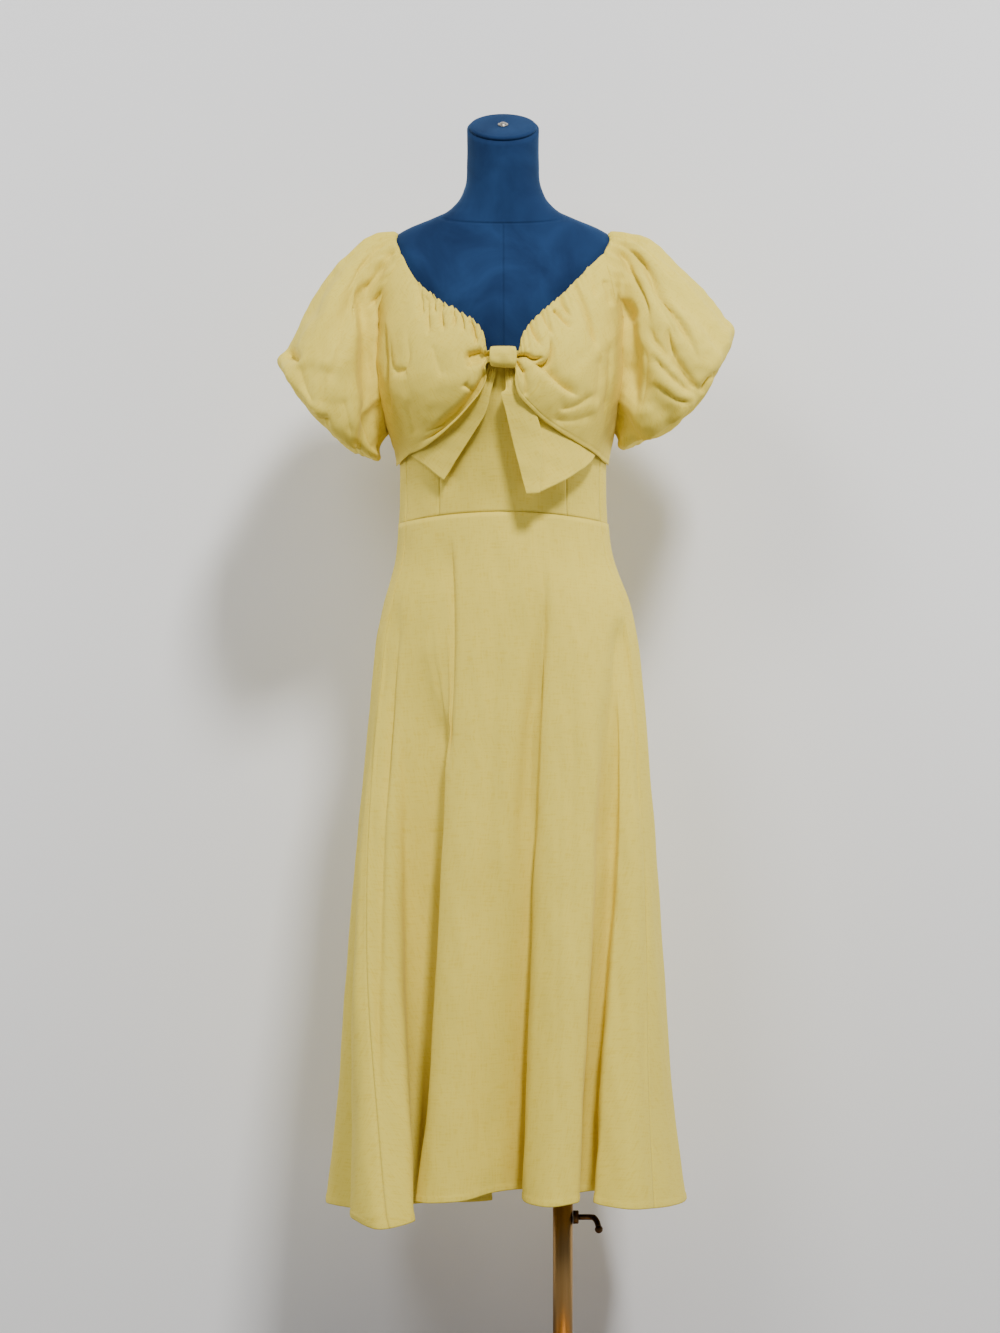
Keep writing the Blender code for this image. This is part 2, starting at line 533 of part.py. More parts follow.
class SleeveShape:
    """A balloon sleeve: rings from the armhole to the cuff, with soft lengthwise folds."""

    def __init__(self, side):
        self.side = side
        self.sign = -1.0 if side == "left" else 1.0
        self.armhole = np.array(ARMHOLE + [ARMHOLE[0]._replace(station=360)], float)
        self.armhole_tangents = slopes(self.armhole[:, 0], self.armhole, (23.0, 25.0))
        self.rings = PUFF[side]
        self.folds = PUFF_FOLDS[side]
        count = len(self.rings) + 1
        self.knots = np.linspace(0.0, 1.0, count)

    def armhole_point(self, station):
        _, turn, height, lift = along(self.armhole[:, 0], self.armhole, self.armhole_tangents, station)
        return bodice_point(turn * -self.sign, height, lift)

    def ring_point(self, ring, station):
        angle = math.radians(station)
        outer = Vector((TORSO_X + ring.outer_x, 0.0, ring.outer_z))
        inner = Vector((TORSO_X + ring.inner_x, 0.0, ring.inner_z))
        depth = ring.front if station < 180 else ring.back
        hang = Vector((0.7 * self.sign, 0.0, -0.71)) * ring.sag * math.sin(angle) ** 2
        middle = (outer + inner) / 2
        return middle + (outer - inner) / 2 * math.cos(angle) + Vector((0, -depth * math.sin(angle), 0)) + hang

    def fold_share(self, station):
        depth = 0.0
        for fold in self.folds:
            away = abs((station - fold.station + 180) % 360 - 180) / fold.half_width
            if away < 1.0:
                depth += fold.depth * math.cos(away * math.pi / 2) ** 2
        return depth

    def point(self, station, share):
        """station in degrees round the sleeve, share from the armhole to the cuff."""
        stack = [self.armhole_point(station)] + [self.ring_point(r, station) for r in self.rings]
        stack = np.array([tuple(p) for p in stack])
        tangents = slopes(self.knots, stack)
        point = Vector(along(self.knots, stack, tangents, share))
        middle_ring = self.rings[min(int(share * len(self.rings)), len(self.rings) - 1)]
        middle = Vector((TORSO_X + (middle_ring.outer_x + middle_ring.inner_x) / 2, 0.0,
                         (middle_ring.outer_z + middle_ring.inner_z) / 2))
        depth = self.fold_share(station) * math.sin(math.pi * min(1.0, share * 1.02)) ** 0.8
        return point + (middle - point).normalized() * depth


def puff_sleeve(side, material):
    shape = SleeveShape(side)
    flip = side == "left"
    return cloth_sheet("sleeve_" + side,
                       lambda u, v: shape.point(360.0 * ((1 - u if flip else u) % 1.0), v),
                       PUFF_COLUMNS, PUFF_ROWS, material, closed=True)


def form_torso(material):
    """Limbless form: rings from the hip to the slanted neck, with flat ends."""
    columns = 28
    heights = [0.780, 0.795, 0.820, 0.855, 0.900, 0.950, 1.000, 1.050, 1.100, 1.145, 1.190, 1.230, 1.268,
               1.300, 1.335, 1.370, 1.400, 1.420, 1.435, 1.445, 1.452, 1.460, 1.470, 1.479, 1.489, 1.508,
               1.540, 1.580]
    rows = len(heights) - 1
    bm = bmesh.new()
    bmesh.ops.create_grid(bm, x_segments=columns, y_segments=rows, size=1.0)
    for vert in bm.verts:
        height = heights[round((vert.co.y + 1.0) / 2.0 * rows)]
        turn = 360.0 * (((vert.co.x + 1.0) / 2.0) % 1.0)
        half_width, front, back, _ = FORM_TABLE.at(height)
        point = ring_point(half_width, front, back, turn, height)
        slant = max(0.0, (height - NECK_TILT_START) / (FORM[-1].height - NECK_TILT_START))
        point.z += point.y * math.tan(NECK_TILT) * slant
        vert.co = point
    bmesh.ops.remove_doubles(bm, verts=bm.verts, dist=1e-6)
    bmesh.ops.holes_fill(bm, edges=[e for e in bm.edges if e.is_boundary])
    bmesh.ops.recalc_face_normals(bm, faces=bm.faces)
    return mesh_object("form_torso", bm, material)


def round_bar(name, radius, bottom, top, segments, material, bevel=0.0):
    bm = bmesh.new()
    bmesh.ops.create_cone(bm, cap_ends=True, segments=segments, radius1=radius, radius2=radius,
                          depth=top - bottom, matrix=Matrix.Translation((0, 0, (bottom + top) / 2)))
    obj = mesh_object(name, bm, material)
    if bevel:
        rounding = obj.modifiers.new("rounding", "BEVEL")
        rounding.width = bevel
        rounding.segments = 2
    return obj


def turned(name, profile, segments, material):
    """A closed profile of (radius, height) turned round the Z axis."""
    mesh = bpy.data.meshes.new(name)
    bm = bmesh.new()
    verts = [bm.verts.new((radius, 0.0, height)) for radius, height in profile]
    for index, vert in enumerate(verts):
        bm.edges.new((vert, verts[(index + 1) % len(verts)]))
    bm.to_mesh(mesh)
    bm.free()
    obj = finish(bpy.data.objects.new(name, mesh), material)
    spin = obj.modifiers.new("turning", "SCREW")
    spin.steps = segments
    spin.render_steps = segments
    spin.use_merge_vertices = True
    spin.merge_threshold = 0.0001
    spin.use_smooth_shade = True
    return obj


def neck_cap(material):
    cap_centre = Vector((TORSO_X, 0.0, FORM[-1].height))
    normal = Vector((0.0, -math.sin(NECK_TILT), math.cos(NECK_TILT)))
    bm = bmesh.new()
    bmesh.ops.create_cone(bm, cap_ends=True, segments=28, radius1=CAP_RADIUS, radius2=CAP_RADIUS,
                          depth=CAP_HEIGHT)
    rims = [e for e in bm.edges if len({round(v.co.z, 5) for v in e.verts}) == 1]
    bmesh.ops.bevel(bm, geom=rims, offset=CAP_BEVEL, segments=1, profile=0.5, affect="EDGES", material=-1)
    obj = mesh_object("neck_cap", bm, material)
    obj.location = cap_centre + normal * (CAP_HEIGHT / 2 + SEAM)
    obj.rotation_euler = (NECK_TILT, 0.0, 0.0)
    return obj


def neck_bolt(material):
    normal = Vector((0.0, -math.sin(NECK_TILT), math.cos(NECK_TILT)))
    bm = bmesh.new()
    bmesh.ops.create_cone(bm, cap_ends=True, segments=6, radius1=BOLT_RADIUS, radius2=BOLT_TOP_RADIUS,
                          depth=BOLT_HEIGHT)
    obj = mesh_object("neck_bolt", bm, material)
    foot = CAP_HEIGHT + 2 * SEAM
    obj.location = Vector((TORSO_X, 0.0, FORM[-1].height)) + normal * (foot + BOLT_HEIGHT / 2)
    obj.rotation_euler = (NECK_TILT, 0.0, 0.0)
    return obj


def clamp_nut(material):
    """Threaded boss on the side of the outer tube, its bore along X."""
    bore = CRANK_RADIUS + 0.0003
    obj = turned("clamp_nut", [(NUT_RADIUS, NUT_LENGTH / 2), (NUT_RADIUS, -NUT_LENGTH / 2),
                               (bore, -NUT_LENGTH / 2), (bore, NUT_LENGTH / 2)], 20, material)
    obj.location = (POLE_RADIUS + SEAM + NUT_LENGTH / 2, 0.0, CLAMP_Z)
    obj.rotation_euler = (0.0, math.pi / 2, 0.0)
    return obj


def clamp_crank(material):
    """Bent screw: straight out of the boss, then down and forward to a ball end."""
    start = POLE_RADIUS + SEAM + 0.0005
    route = [(start, 0.0, 0.0), (start + CRANK_REACH, 0.0, 0.0),
             (start + CRANK_REACH + 0.0040, -0.0030, -0.0012),
             (start + CRANK_REACH + 0.0068, -0.0075, -0.0046),
             (start + CRANK_REACH + 0.0082, -0.0120, -0.0085),
             (start + CRANK_REACH + 0.0088, -0.0160, -CRANK_DROP)]
    bm = bmesh.new()
    sides = 12
    rings = []
    for index, place in enumerate(route):
        ahead = Vector(route[min(index + 1, len(route) - 1)]) - Vector(route[max(index - 1, 0)])
        frame = ahead.to_track_quat("Z", "Y").to_matrix().to_4x4()
        circle = bmesh.ops.create_circle(bm, segments=sides, radius=CRANK_RADIUS,
                                         matrix=Matrix.Translation(place) @ frame)["verts"]
        rings.append(circle)
    for first, second in zip(rings, rings[1:]):
        edges = [e for e in bm.edges if all(v in first for v in e.verts) or all(v in second for v in e.verts)]
        bmesh.ops.bridge_loops(bm, edges=edges)
    for circle in (rings[0], rings[-1]):
        bm.faces.new(circle)
    bmesh.ops.recalc_face_normals(bm, faces=bm.faces)
    rod = mesh_object("clamp_crank", bm, material)
    ball_bm = bmesh.new()
    bmesh.ops.create_uvsphere(ball_bm, u_segments=14, v_segments=10, radius=CRANK_BALL,
                              matrix=Matrix.Translation(Vector(route[-1]) + Vector((0.0002, -0.0028, -0.0018))))
    ball_mesh = bpy.data.meshes.new("crank_ball")
    ball_bm.to_mesh(ball_mesh)
    ball_bm.free()
    ball = bpy.data.objects.new("crank_ball", ball_mesh)
    ball.hide_render = True
    ball.display_type = "WIRE"
    ball.location = (0.0, 0.0, CLAMP_Z)
    cutters.objects.link(ball)
    rod.location = (0.0, 0.0, CLAMP_Z)
    union = rod.modifiers.new("ball", "BOOLEAN")
    union.operation = "UNION"
    union.object = ball
    return rod


for leftover in list(bpy.data.objects):
    bpy.data.objects.remove(leftover, do_unlink=True)
parts = bpy.data.collections.new(OBJECT_NAME)
cutters = bpy.data.collections.new(OBJECT_NAME + "_cutters")
for collection in (parts, cutters):
    bpy.context.scene.collection.children.link(collection)

linen = simple_material("yellow_woven_cloth", (0.72, 0.60, 0.24), 0.85, 0.0)
velvet = simple_material("blue_velvet", (0.015, 0.075, 0.20), 0.9, 0.0)
brass = simple_material("polished_brass", (0.42, 0.29, 0.12), 0.3, 1.0)
bronze = simple_material("dark_bronze", (0.17, 0.10, 0.05), 0.4, 1.0)
steel = simple_material("bolt_steel", (0.45, 0.42, 0.38), 0.35, 1.0)

skirt_panel("skirt_front", "left_seam", "right_seam", linen)
skirt_panel("skirt_back", "right_seam", "left_seam", linen)

bodice_panel("bodice_front_centre", -PRINCESS_TURN, PRINCESS_TURN, lambda turn: BODICE_TOP_Z,
             12, BODICE_ROWS, linen)
back_table = Table(BACK_TOP)


def side_top(turn):
    """Top of a side piece: from the under-bodice's top down to the armhole."""
    share = (abs(turn) - PRINCESS_TURN) / (SIDE_SEAM_TURN - PRINCESS_TURN)
    return BODICE_TOP_Z + (back_table.at(SIDE_SEAM_TURN)[0] - BODICE_TOP_Z) * share


for side_name, sign in (("left", -1), ("right", 1)):
    seams = sorted((sign * PRINCESS_TURN, sign * SIDE_SEAM_TURN))
    bodice_panel("bodice_side_" + side_name, seams[0], seams[1], side_top, 6, BODICE_ROWS, linen)
bodice_panel("bodice_back", SIDE_SEAM_TURN, 360.0 - SIDE_SEAM_TURN,
             lambda turn: back_table.at(180.0 - abs(turn - 180.0))[0], 26, BODICE_ROWS + 1, linen)

for side_name in ("left", "right"):
    bust_drape(side_name, linen)
    puff_sleeve(side_name, linen)
bow_tail("bow_tail_left", TAIL_LEFT, linen)
bow_tail("bow_tail_right", TAIL_RIGHT, linen)
knot_band(linen)

form_torso(velvet)
neck_cap(velvet)
neck_bolt(steel)
round_bar("inner_tube", INNER_RADIUS, INNER_BOTTOM_Z, FORM_BOTTOM_Z - SEAM, 28, brass)
turned("outer_tube", [(POLE_RADIUS, TUBE_TOP_Z), (POLE_RADIUS, BASE_HEIGHT + SEAM),
                      (POLE_RADIUS - POLE_WALL, BASE_HEIGHT + SEAM),
                      (POLE_RADIUS - POLE_WALL, TUBE_TOP_Z)], 28, brass)
clamp_nut(bronze)
clamp_crank(bronze)
round_bar("base_plate", BASE_RADIUS, 0.0, BASE_HEIGHT, 40, brass, bevel=0.003)
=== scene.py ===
# %% [markdown]
# # A puff sleeve midi dress on its dress form
# The real object is a pale yellow dress of light woven cloth, pulled over a limbless form that is
# covered in blue velvet and stands on a brass pole. This lesson dresses the plain solids of the
# frame: each cloth piece becomes a thin shell on the same form, with its own gathers and creases.

# %% Load the frame
import math
from collections import namedtuple

import bmesh
import bpy
import numpy as np
from mathutils import Matrix, Vector


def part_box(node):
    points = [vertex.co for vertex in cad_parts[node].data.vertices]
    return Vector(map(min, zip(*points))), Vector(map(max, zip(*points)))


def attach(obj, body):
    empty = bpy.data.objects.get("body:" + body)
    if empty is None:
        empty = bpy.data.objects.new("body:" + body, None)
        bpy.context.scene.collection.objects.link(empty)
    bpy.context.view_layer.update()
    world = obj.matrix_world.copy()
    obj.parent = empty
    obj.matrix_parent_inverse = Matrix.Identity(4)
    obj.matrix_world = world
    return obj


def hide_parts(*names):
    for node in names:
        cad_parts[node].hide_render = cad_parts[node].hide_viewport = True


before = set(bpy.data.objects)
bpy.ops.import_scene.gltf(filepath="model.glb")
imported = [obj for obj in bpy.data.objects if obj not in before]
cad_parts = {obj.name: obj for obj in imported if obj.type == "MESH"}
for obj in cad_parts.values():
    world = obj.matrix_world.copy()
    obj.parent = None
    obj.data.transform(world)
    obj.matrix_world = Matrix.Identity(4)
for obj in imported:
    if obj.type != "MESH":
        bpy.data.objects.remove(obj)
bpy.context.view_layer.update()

# %% [markdown]
# ## Sizes
# All sizes are in metres. The pole stands on the Z axis and the front faces -Y. The torso's centre
# line lies beside the pole, so heights and turns round the torso are easier to think in than x and y.

# %% Sizes that the pieces share
TORSO_X = -0.073           # torso's centre line, seen from the pole
CLOTH = 0.0010             # wall of the cloth as it looks at an edge
SEAM = 0.0003              # gap between two sewn pieces
LAY = 0.0022               # one cloth lying on another
SEAM_DIP = 0.0005          # how far the cloth dips at an upright seam
WAIST_SEAM_DIP = 0.0001
WAIST_Z = 1.1105
WAIST_DIP = 0.0120         # how much lower the waist seam runs at the sides
WAIST_GAP = SEAM * 0.3     # the waist seam is drawn tighter than the others
PRINCESS_TURN = 37.5       # degrees round the torso
SIDE_SEAM_TURN = 68.0
BODICE_TOP_Z = 1.2930
NECK_TILT = math.radians(27.0)
NECK_TILT_START = 1.520

# %% [markdown]
# ## Reading a short table smoothly
# A garment changes shape slowly, so a few measured rings are enough. Cubic curves through the rows
# give every height in between. The same reader serves the form, the skirt, the sleeves and the creases.


# %% A smooth reader for tables
def slopes(knots, values, wrap=None):
    """Tangents of a smooth curve through rows of values; wrap holds the two steps that close a loop."""
    if wrap is not None:
        before = values[-2:-1] - (values[-1:] - values[:1])
        after = values[1:2] + (values[-1:] - values[:1])
        knots = np.concatenate([[knots[0] - wrap[0]], knots, [knots[-1] + wrap[1]]])
        values = np.concatenate([before, values, after])
    step = np.diff(knots)[:, None]
    rate = np.diff(values, axis=0) / step
    inner = (rate[:-1] * step[1:] + rate[1:] * step[:-1]) / (step[:-1] + step[1:])
    return inner if wrap is not None else np.concatenate([rate[:1], inner, rate[-1:]])


def smooth_reader(knots, values, wrap=None):
    """A function that reads rows of values at any places between the knots."""
    knots = np.asarray(knots, float)
    values = np.asarray(values, float)
    tangents = slopes(knots, values, wrap)

    def read(places):
        places = np.clip(np.asarray(places, float), knots[0], knots[-1])
        index = np.clip(np.searchsorted(knots, places, side="right") - 1, 0, len(knots) - 2)
        span = (knots[index + 1] - knots[index])[..., None]
        t = (places - knots[index])[..., None] / span
        return (values[index] * (2 * t ** 3 - 3 * t ** 2 + 1) + values[index + 1] * (3 * t ** 2 - 2 * t ** 3)
                + tangents[index] * span * (t ** 3 - 2 * t ** 2 + t)
                + tangents[index + 1] * span * (t ** 3 - t ** 2))

    return read


def table_reader(rows):
    """Reads a table by its first column of numbers."""
    numbers = np.array([[cell for cell in row if not isinstance(cell, str)] for row in rows], float)
    return smooth_reader(numbers[:, 0], numbers[:, 1:])


def smooth_step(share):
    """0 up to a share of 0, 1 from a share of 1, and smooth in between."""
    share = np.clip(share, 0.0, 1.0)
    return share * share * (3.0 - 2.0 * share)


# %% [markdown]
# ## The form that everything hangs on
# A dress form is a stack of egg-shaped rings. The last column says how far the bodice hangs off it,
# so one function gives a point of the form and another a point of the cloth worn on it.

# %% Rings of the form
FormRing = namedtuple("FormRing", "height half_width front back ease")
FORM = [
    FormRing(0.780, 0.1280, 0.0820, 0.0950, 0.0100),
    FormRing(0.805, 0.1430, 0.0930, 0.1080, 0.0100),
    FormRing(0.850, 0.1500, 0.0990, 0.1160, 0.0100),
    FormRing(0.900, 0.1500, 0.1020, 0.1200, 0.0100),
    FormRing(1.000, 0.1330, 0.0950, 0.1040, 0.0100),
    FormRing(1.100, 0.1175, 0.0840, 0.0830, 0.0095),
    FormRing(1.180, 0.1170, 0.0960, 0.0830, 0.0095),
    FormRing(1.268, 0.1280, 0.1210, 0.0900, 0.0120),
    FormRing(1.320, 0.1355, 0.1160, 0.0940, 0.0100),
    FormRing(1.360, 0.1430, 0.1040, 0.0960, 0.0070),
    FormRing(1.400, 0.1510, 0.0850, 0.0940, 0.0045),
    FormRing(1.425, 0.1480, 0.0700, 0.0840, 0.0030),
    FormRing(1.440, 0.1395, 0.0600, 0.0740, 0.0028),
    FormRing(1.452, 0.1275, 0.0520, 0.0640, 0.0023),
    FormRing(1.460, 0.1130, 0.0480, 0.0590, 0.0026),
    FormRing(1.470, 0.0885, 0.0455, 0.0540, 0.0014),
    FormRing(1.479, 0.0690, 0.0445, 0.0500, 0.0014),
    FormRing(1.489, 0.0573, 0.0440, 0.0470, 0.0014),
    FormRing(1.508, 0.0470, 0.0435, 0.0450, 0.0014),
    FormRing(1.540, 0.0440, 0.0440, 0.0440, 0.0014),
    FormRing(1.580, 0.0440, 0.0440, 0.0440, 0.0014),
]
form_rings = table_reader(FORM)


def ring_point(half_width, front, back, turn, height, centre=0.0):
    """Points of egg-shaped rings at turns in degrees; the last axis of the result is x, y, z."""
    angle = np.radians(turn)
    depth = np.where(np.cos(angle) > 0, front, back)
    x = TORSO_X + centre + half_width * np.sin(angle)
    return np.stack([x, -depth * np.cos(angle), height + 0.0 * x], axis=-1)


def worn_point(turn, height, lift=0.0):
    """Points of the bodice's cloth, or of what lies on it at a lift."""
    half_width, front, back, ease = np.moveaxis(form_rings(height), -1, 0)
    off = ease + lift
    return ring_point(half_width + off, front + off, back + off, turn, height)


def clear_of_form(surface, gap):
    """Moves points that would lie inside the form, or nearer to it than the gap, straight out to it."""
    across, ahead, height = surface[..., 0] - TORSO_X, -surface[..., 1], surface[..., 2]
    half_width, front, back = np.moveaxis(form_rings(height), -1, 0)[:3]
    reach = np.hypot(across / (half_width + gap), ahead / (np.where(ahead > 0, front, back) + gap))
    outwards = np.where(height > FORM[0].height - gap, np.maximum(1.0 / reach, 1.0), 1.0)
    return np.stack([TORSO_X + across * outwards, -ahead * outwards, height], axis=-1)


def waist_height(turn):
    """The waist seam dips a little at the sides."""
    return WAIST_Z - WAIST_DIP * np.sin(np.radians(turn)) ** 2


# %% [markdown]
# ## Laying cloth
# A cloth piece starts as a flat grid, the way cloth starts as a flat cut. Each grid point is then
# moved to its place on the wearer. The UV map keeps real lengths in metres along and across the
# threads, so a weave drawn on it has the same scale on every piece.


# %% Turn a surface of points into a piece of cloth
def cut_chart(surface):
    """Metres along the rows and down the columns, measured on the cloth itself."""
    across = np.linalg.norm(np.diff(surface, axis=1), axis=-1)
    down = np.linalg.norm(np.diff(surface, axis=0), axis=-1)
    u = np.concatenate([np.zeros((len(surface), 1)), np.cumsum(across, axis=1)], axis=1)
    v = np.concatenate([np.zeros((1, surface.shape[1])), np.cumsum(down, axis=0)], axis=0)
    return np.stack([u - u[:, -1:] / 2, v], axis=-1)


def grid_mesh(name, surface, closed):
    """A mesh grid whose points lie on the surface, an array by row and column."""
    rows, columns = surface.shape[0] - 1, surface.shape[1] - 1
    bm = bmesh.new()
    bmesh.ops.create_grid(bm, x_segments=columns, y_segments=rows, size=0.5)
    mesh = bpy.data.meshes.new(name)
    bm.to_mesh(mesh)
    flat = np.zeros(len(mesh.vertices) * 3)
    mesh.vertices.foreach_get("co", flat)
    flat = flat.reshape(-1, 3)
    column = np.rint((flat[:, 0] + 0.5) * columns).astype(int)
    row = np.rint((flat[:, 1] + 0.5) * rows).astype(int)
    mesh.vertices.foreach_set("co", surface[row, column].ravel())
    corner = np.zeros(len(mesh.loops), int)
    mesh.loops.foreach_get("vertex_index", corner)
    chart = cut_chart(surface)[row, column][corner]
    mesh.uv_layers.new(name="cut")
    mesh.uv_layers["cut"].data.foreach_set("uv", chart.ravel())
    bm.clear()
    bm.from_mesh(mesh)
    if closed:
        bmesh.ops.remove_doubles(bm, verts=bm.verts, dist=1e-5)
    return bm, mesh


def add_piece(bm, mesh, material, body, slot, *replaces):
    """Links a finished mesh, under its own name, into the scene, rides it on a body and hides the nodes that
    it stands for.
    """
    bm.to_mesh(mesh)
    bm.free()
    mesh.shade_smooth()
    mesh.materials.append(material)
    piece = bpy.data.objects.new(mesh.name, mesh)
    bpy.context.scene.collection.objects.link(piece)
    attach(piece, body)
    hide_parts(*replaces)
    print(mesh.name, len(mesh.polygons), "faces")
    return piece


def surface_area(surface):
    """Square metres of a surface of points."""
    across = np.diff(surface[:-1], axis=1)
    down = np.diff(surface[:, :-1], axis=0)
    return float(np.linalg.norm(np.cross(across, down), axis=-1).sum())


def cloth_piece(name, node, surface, flat, area, closed=False):
    """A shell of cloth on a surface; it prints its area on the form and the size that it was cut to."""
    bm, mesh = grid_mesh(name, surface, closed)
    bmesh.ops.recalc_face_normals(bm, faces=bm.faces)
    piece = add_piece(bm, mesh, yellow_cloth, "dressed_form", "yellow_woven_cloth", node)
    wall = piece.modifiers.new("wall", "SOLIDIFY")
    wall.thickness = CLOTH
    wall.offset = 0.0
    print("   cloth", round(surface_area(surface), 3), "m2 on the form, cut", area or flat)


# %% [markdown]
# ## Creases, gathers and unevenness
# Three small tools shape the cloth. A crease is a line drawn on the front view with a width and a
# depth; its lean makes one flank long and the other steep, as where cloth folds over. Gathers are
# uneven little folds that start at a drawn-up edge and fade. A slow swell keeps long stretches from
# looking ruled.

# %% Shaping tools
Crease = namedtuple("Crease", "width depth lean line")
CREASE_POINTS = 12         # points that a drawn line is made of
CREASE_FADE = 0.24         # share of its length over which an end fades
LEAN_REACH = 2.0           # how much a lean widens one flank and narrows the other
STEEPEST = 0.35            # share of the width that the steep flank keeps


def crease_lift(surface, creases, softness=2.0, deepen=1.7):
    """How far each point moves outwards for the creases; their lines are (x, z) from the torso's middle.

    A softness of 2 makes round troughs, near 1 it makes the sharp valleys of cloth that is folded over.
    The tables say how deep a crease looks; deepen makes up for soft light, which makes it look shallower.
    """
    across = surface[..., 0] - TORSO_X
    height = surface[..., 2]
    lift = np.zeros(across.shape)
    for crease in creases:
        line = np.array(crease.line, float)
        drawn = smooth_reader(np.linspace(0.0, 1.0, len(line)), line)(np.linspace(0.0, 1.0, CREASE_POINTS))
        nearest = np.full(across.shape, np.inf)
        side = np.zeros(across.shape)
        share = np.zeros(across.shape)
        for step, (start, end) in enumerate(zip(drawn, drawn[1:])):
            run_x, run_z = end - start
            t = ((across - start[0]) * run_x + (height - start[1]) * run_z) / (run_x ** 2 + run_z ** 2)
            t = np.clip(t, 0.0, 1.0)
            off_x = across - start[0] - t * run_x
            off_z = height - start[1] - t * run_z
            distance = np.hypot(off_x, off_z)
            closer = distance < nearest
            nearest = np.where(closer, distance, nearest)
            side = np.where(closer, np.sign(run_x * off_z - run_z * off_x), side)
            share = np.where(closer, (step + t) / (CREASE_POINTS - 1), share)
        flank = crease.width * np.maximum(1.0 + side * LEAN_REACH * crease.lean, STEEPEST)
        trough = np.exp(-(nearest / flank) ** softness)
        lift -= deepen * crease.depth * trough * smooth_step(np.minimum(share, 1.0 - share) / CREASE_FADE)
    return lift


def gathers(along, away, spacing, height, reach, phase=0.0):
    """Uneven folds at a drawn-up edge: along it and away from it in metres."""
    turn = 2.0 * np.pi * along / spacing
    wave = np.cos(turn + 0.9 * np.sin(turn / 3.7 + 1.3 + phase) + 0.7 * np.sin(turn / 2.3 + phase))
    own_reach = reach * (1.0 + 0.45 * np.sin(turn / 4.3 + phase) + 0.3 * np.sin(turn / 1.7 + 2.0))
    return height * wave * np.exp(-np.maximum(away, 0.0) / own_reach)


def swell(surface, size, seed):
    """A slow random rise and fall, mostly between -1 and 1."""
    random = np.random.default_rng(seed)
    total = 0.0
    for _ in range(7):
        direction = random.normal(size=3)
        direction *= 2.0 * np.pi / (np.linalg.norm(direction) * size * random.uniform(0.7, 1.6))
        total = total + np.sin(surface @ direction + random.uniform(0.0, 6.28))
    return total / 2.6


def pushed(surface, lift, closed=False):
    """Moves each point along its own normal, outwards for a positive lift."""
    source = surface
    if closed:
        source = np.concatenate([surface[:, -2:-1], surface, surface[:, 1:2]], axis=1)
    across = np.gradient(source, axis=1)
    down = np.gradient(source, axis=0)
    normal = np.cross(across, down)
    if closed:
        normal = normal[:, 1:-1]
    normal /= np.maximum(np.linalg.norm(normal, axis=-1, keepdims=True), 1e-12)
    middle = (surface.reshape(-1, 3).min(axis=0) + surface.reshape(-1, 3).max(axis=0)) / 2
    middle[1] = 0.0
    if np.sum(normal * (surface - middle)) < 0:
        normal = -normal
    return surface + normal * lift[..., None]


# %% [markdown]
# ## Materials
# Every finish is made of nodes. One function adds a node, sets its values and links its inputs, and
# one turns the sRGB colours that people read off a swatch into the linear ones that light needs.


# %% Material helpers
def linear(swatch):
    """An sRGB hex colour as linear RGBA."""
    parts = [int(swatch[i:i + 2], 16) / 255.0 for i in (1, 3, 5)]
    return (*[c / 12.92 if c <= 0.04045 else ((c + 0.055) / 1.055) ** 2.4 for c in parts], 1.0)


def add_node(tree, kind, links=None, **settings):
    """Adds a node; settings name its inputs or its properties, links map an input to an output."""
    node = tree.nodes.new(kind)
    for name, value in settings.items():
        label = name.replace("_", " ").title()
        if label in node.inputs and not hasattr(node, name):
            node.inputs[label].default_value = value
        else:
            setattr(node, name, value)
    for name, output in (links or {}).items():
        tree.links.new(output, node.inputs[name])
    return node


def new_material(name):
    """A material with its node tree and its shader."""
    material = bpy.data.materials.new(name)
    material.use_nodes = True
    return material, material.node_tree, material.node_tree.nodes["Principled BSDF"]


def colour_band(ramp, *stops):
    """Sets a colour ramp to two stops of (place, sRGB hex)."""
    for element, (place, swatch) in zip(ramp.color_ramp.elements, stops):
        element.position = place
        element.color = linear(swatch)


# %% [markdown]
# ### Yellow woven cloth
# The cloth is a light plain weave with slubs, probably a viscose and linen mix. It is dull, with a
# faint sheen at grazing angles. Its threads are about 0.4 mm apart, too fine for a whole view, so the
# thread bump is drawn at 0.9 mm and long slubs carry the look of the warp. A fine crumple at a few
# millimetres gives the washed surface.

# %% Cloth material
THREAD = 0.0009            # drawn distance of the threads
WAVE_SCALE = 0.314         # a wave texture of this scale repeats once a metre
SLUB = 0.0022              # width of a slub
SLUB_LENGTHENING = 0.12    # a slub's width against its length
CRUMPLE = 0.011            # largest size in the fine crumple

yellow_cloth, tree, shader = new_material("plain_weave_slubbed_cloth")
cut = add_node(tree, "ShaderNodeTexCoord").outputs["UV"]
threads = []
slub_runs = []
for way, stretch in (("X", (1.0, SLUB_LENGTHENING)), ("Y", (SLUB_LENGTHENING, 1.0))):
    bands = add_node(tree, "ShaderNodeTexWave", {"Vector": cut}, bands_direction=way,
                     scale=WAVE_SCALE / THREAD, distortion=0.6, detail=1.0)
    threads.append(bands.outputs["Fac"])
    drawn = add_node(tree, "ShaderNodeMapping", {"Vector": cut},
                     scale=(stretch[0] / SLUB, stretch[1] / SLUB, 1.0))
    runs = add_node(tree, "ShaderNodeTexNoise", {"Vector": drawn.outputs["Vector"]}, scale=1.0, detail=3.0)
    slub_runs.append(runs.outputs["Fac"])
weave = add_node(tree, "ShaderNodeMath", dict(enumerate(threads)), operation="MULTIPLY")
slubs = add_node(tree, "ShaderNodeMath", dict(enumerate(slub_runs)), operation="ADD")
crumple = add_node(tree, "ShaderNodeTexNoise", {"Vector": cut}, scale=1.0 / CRUMPLE, detail=4.0,
                   roughness=0.62)
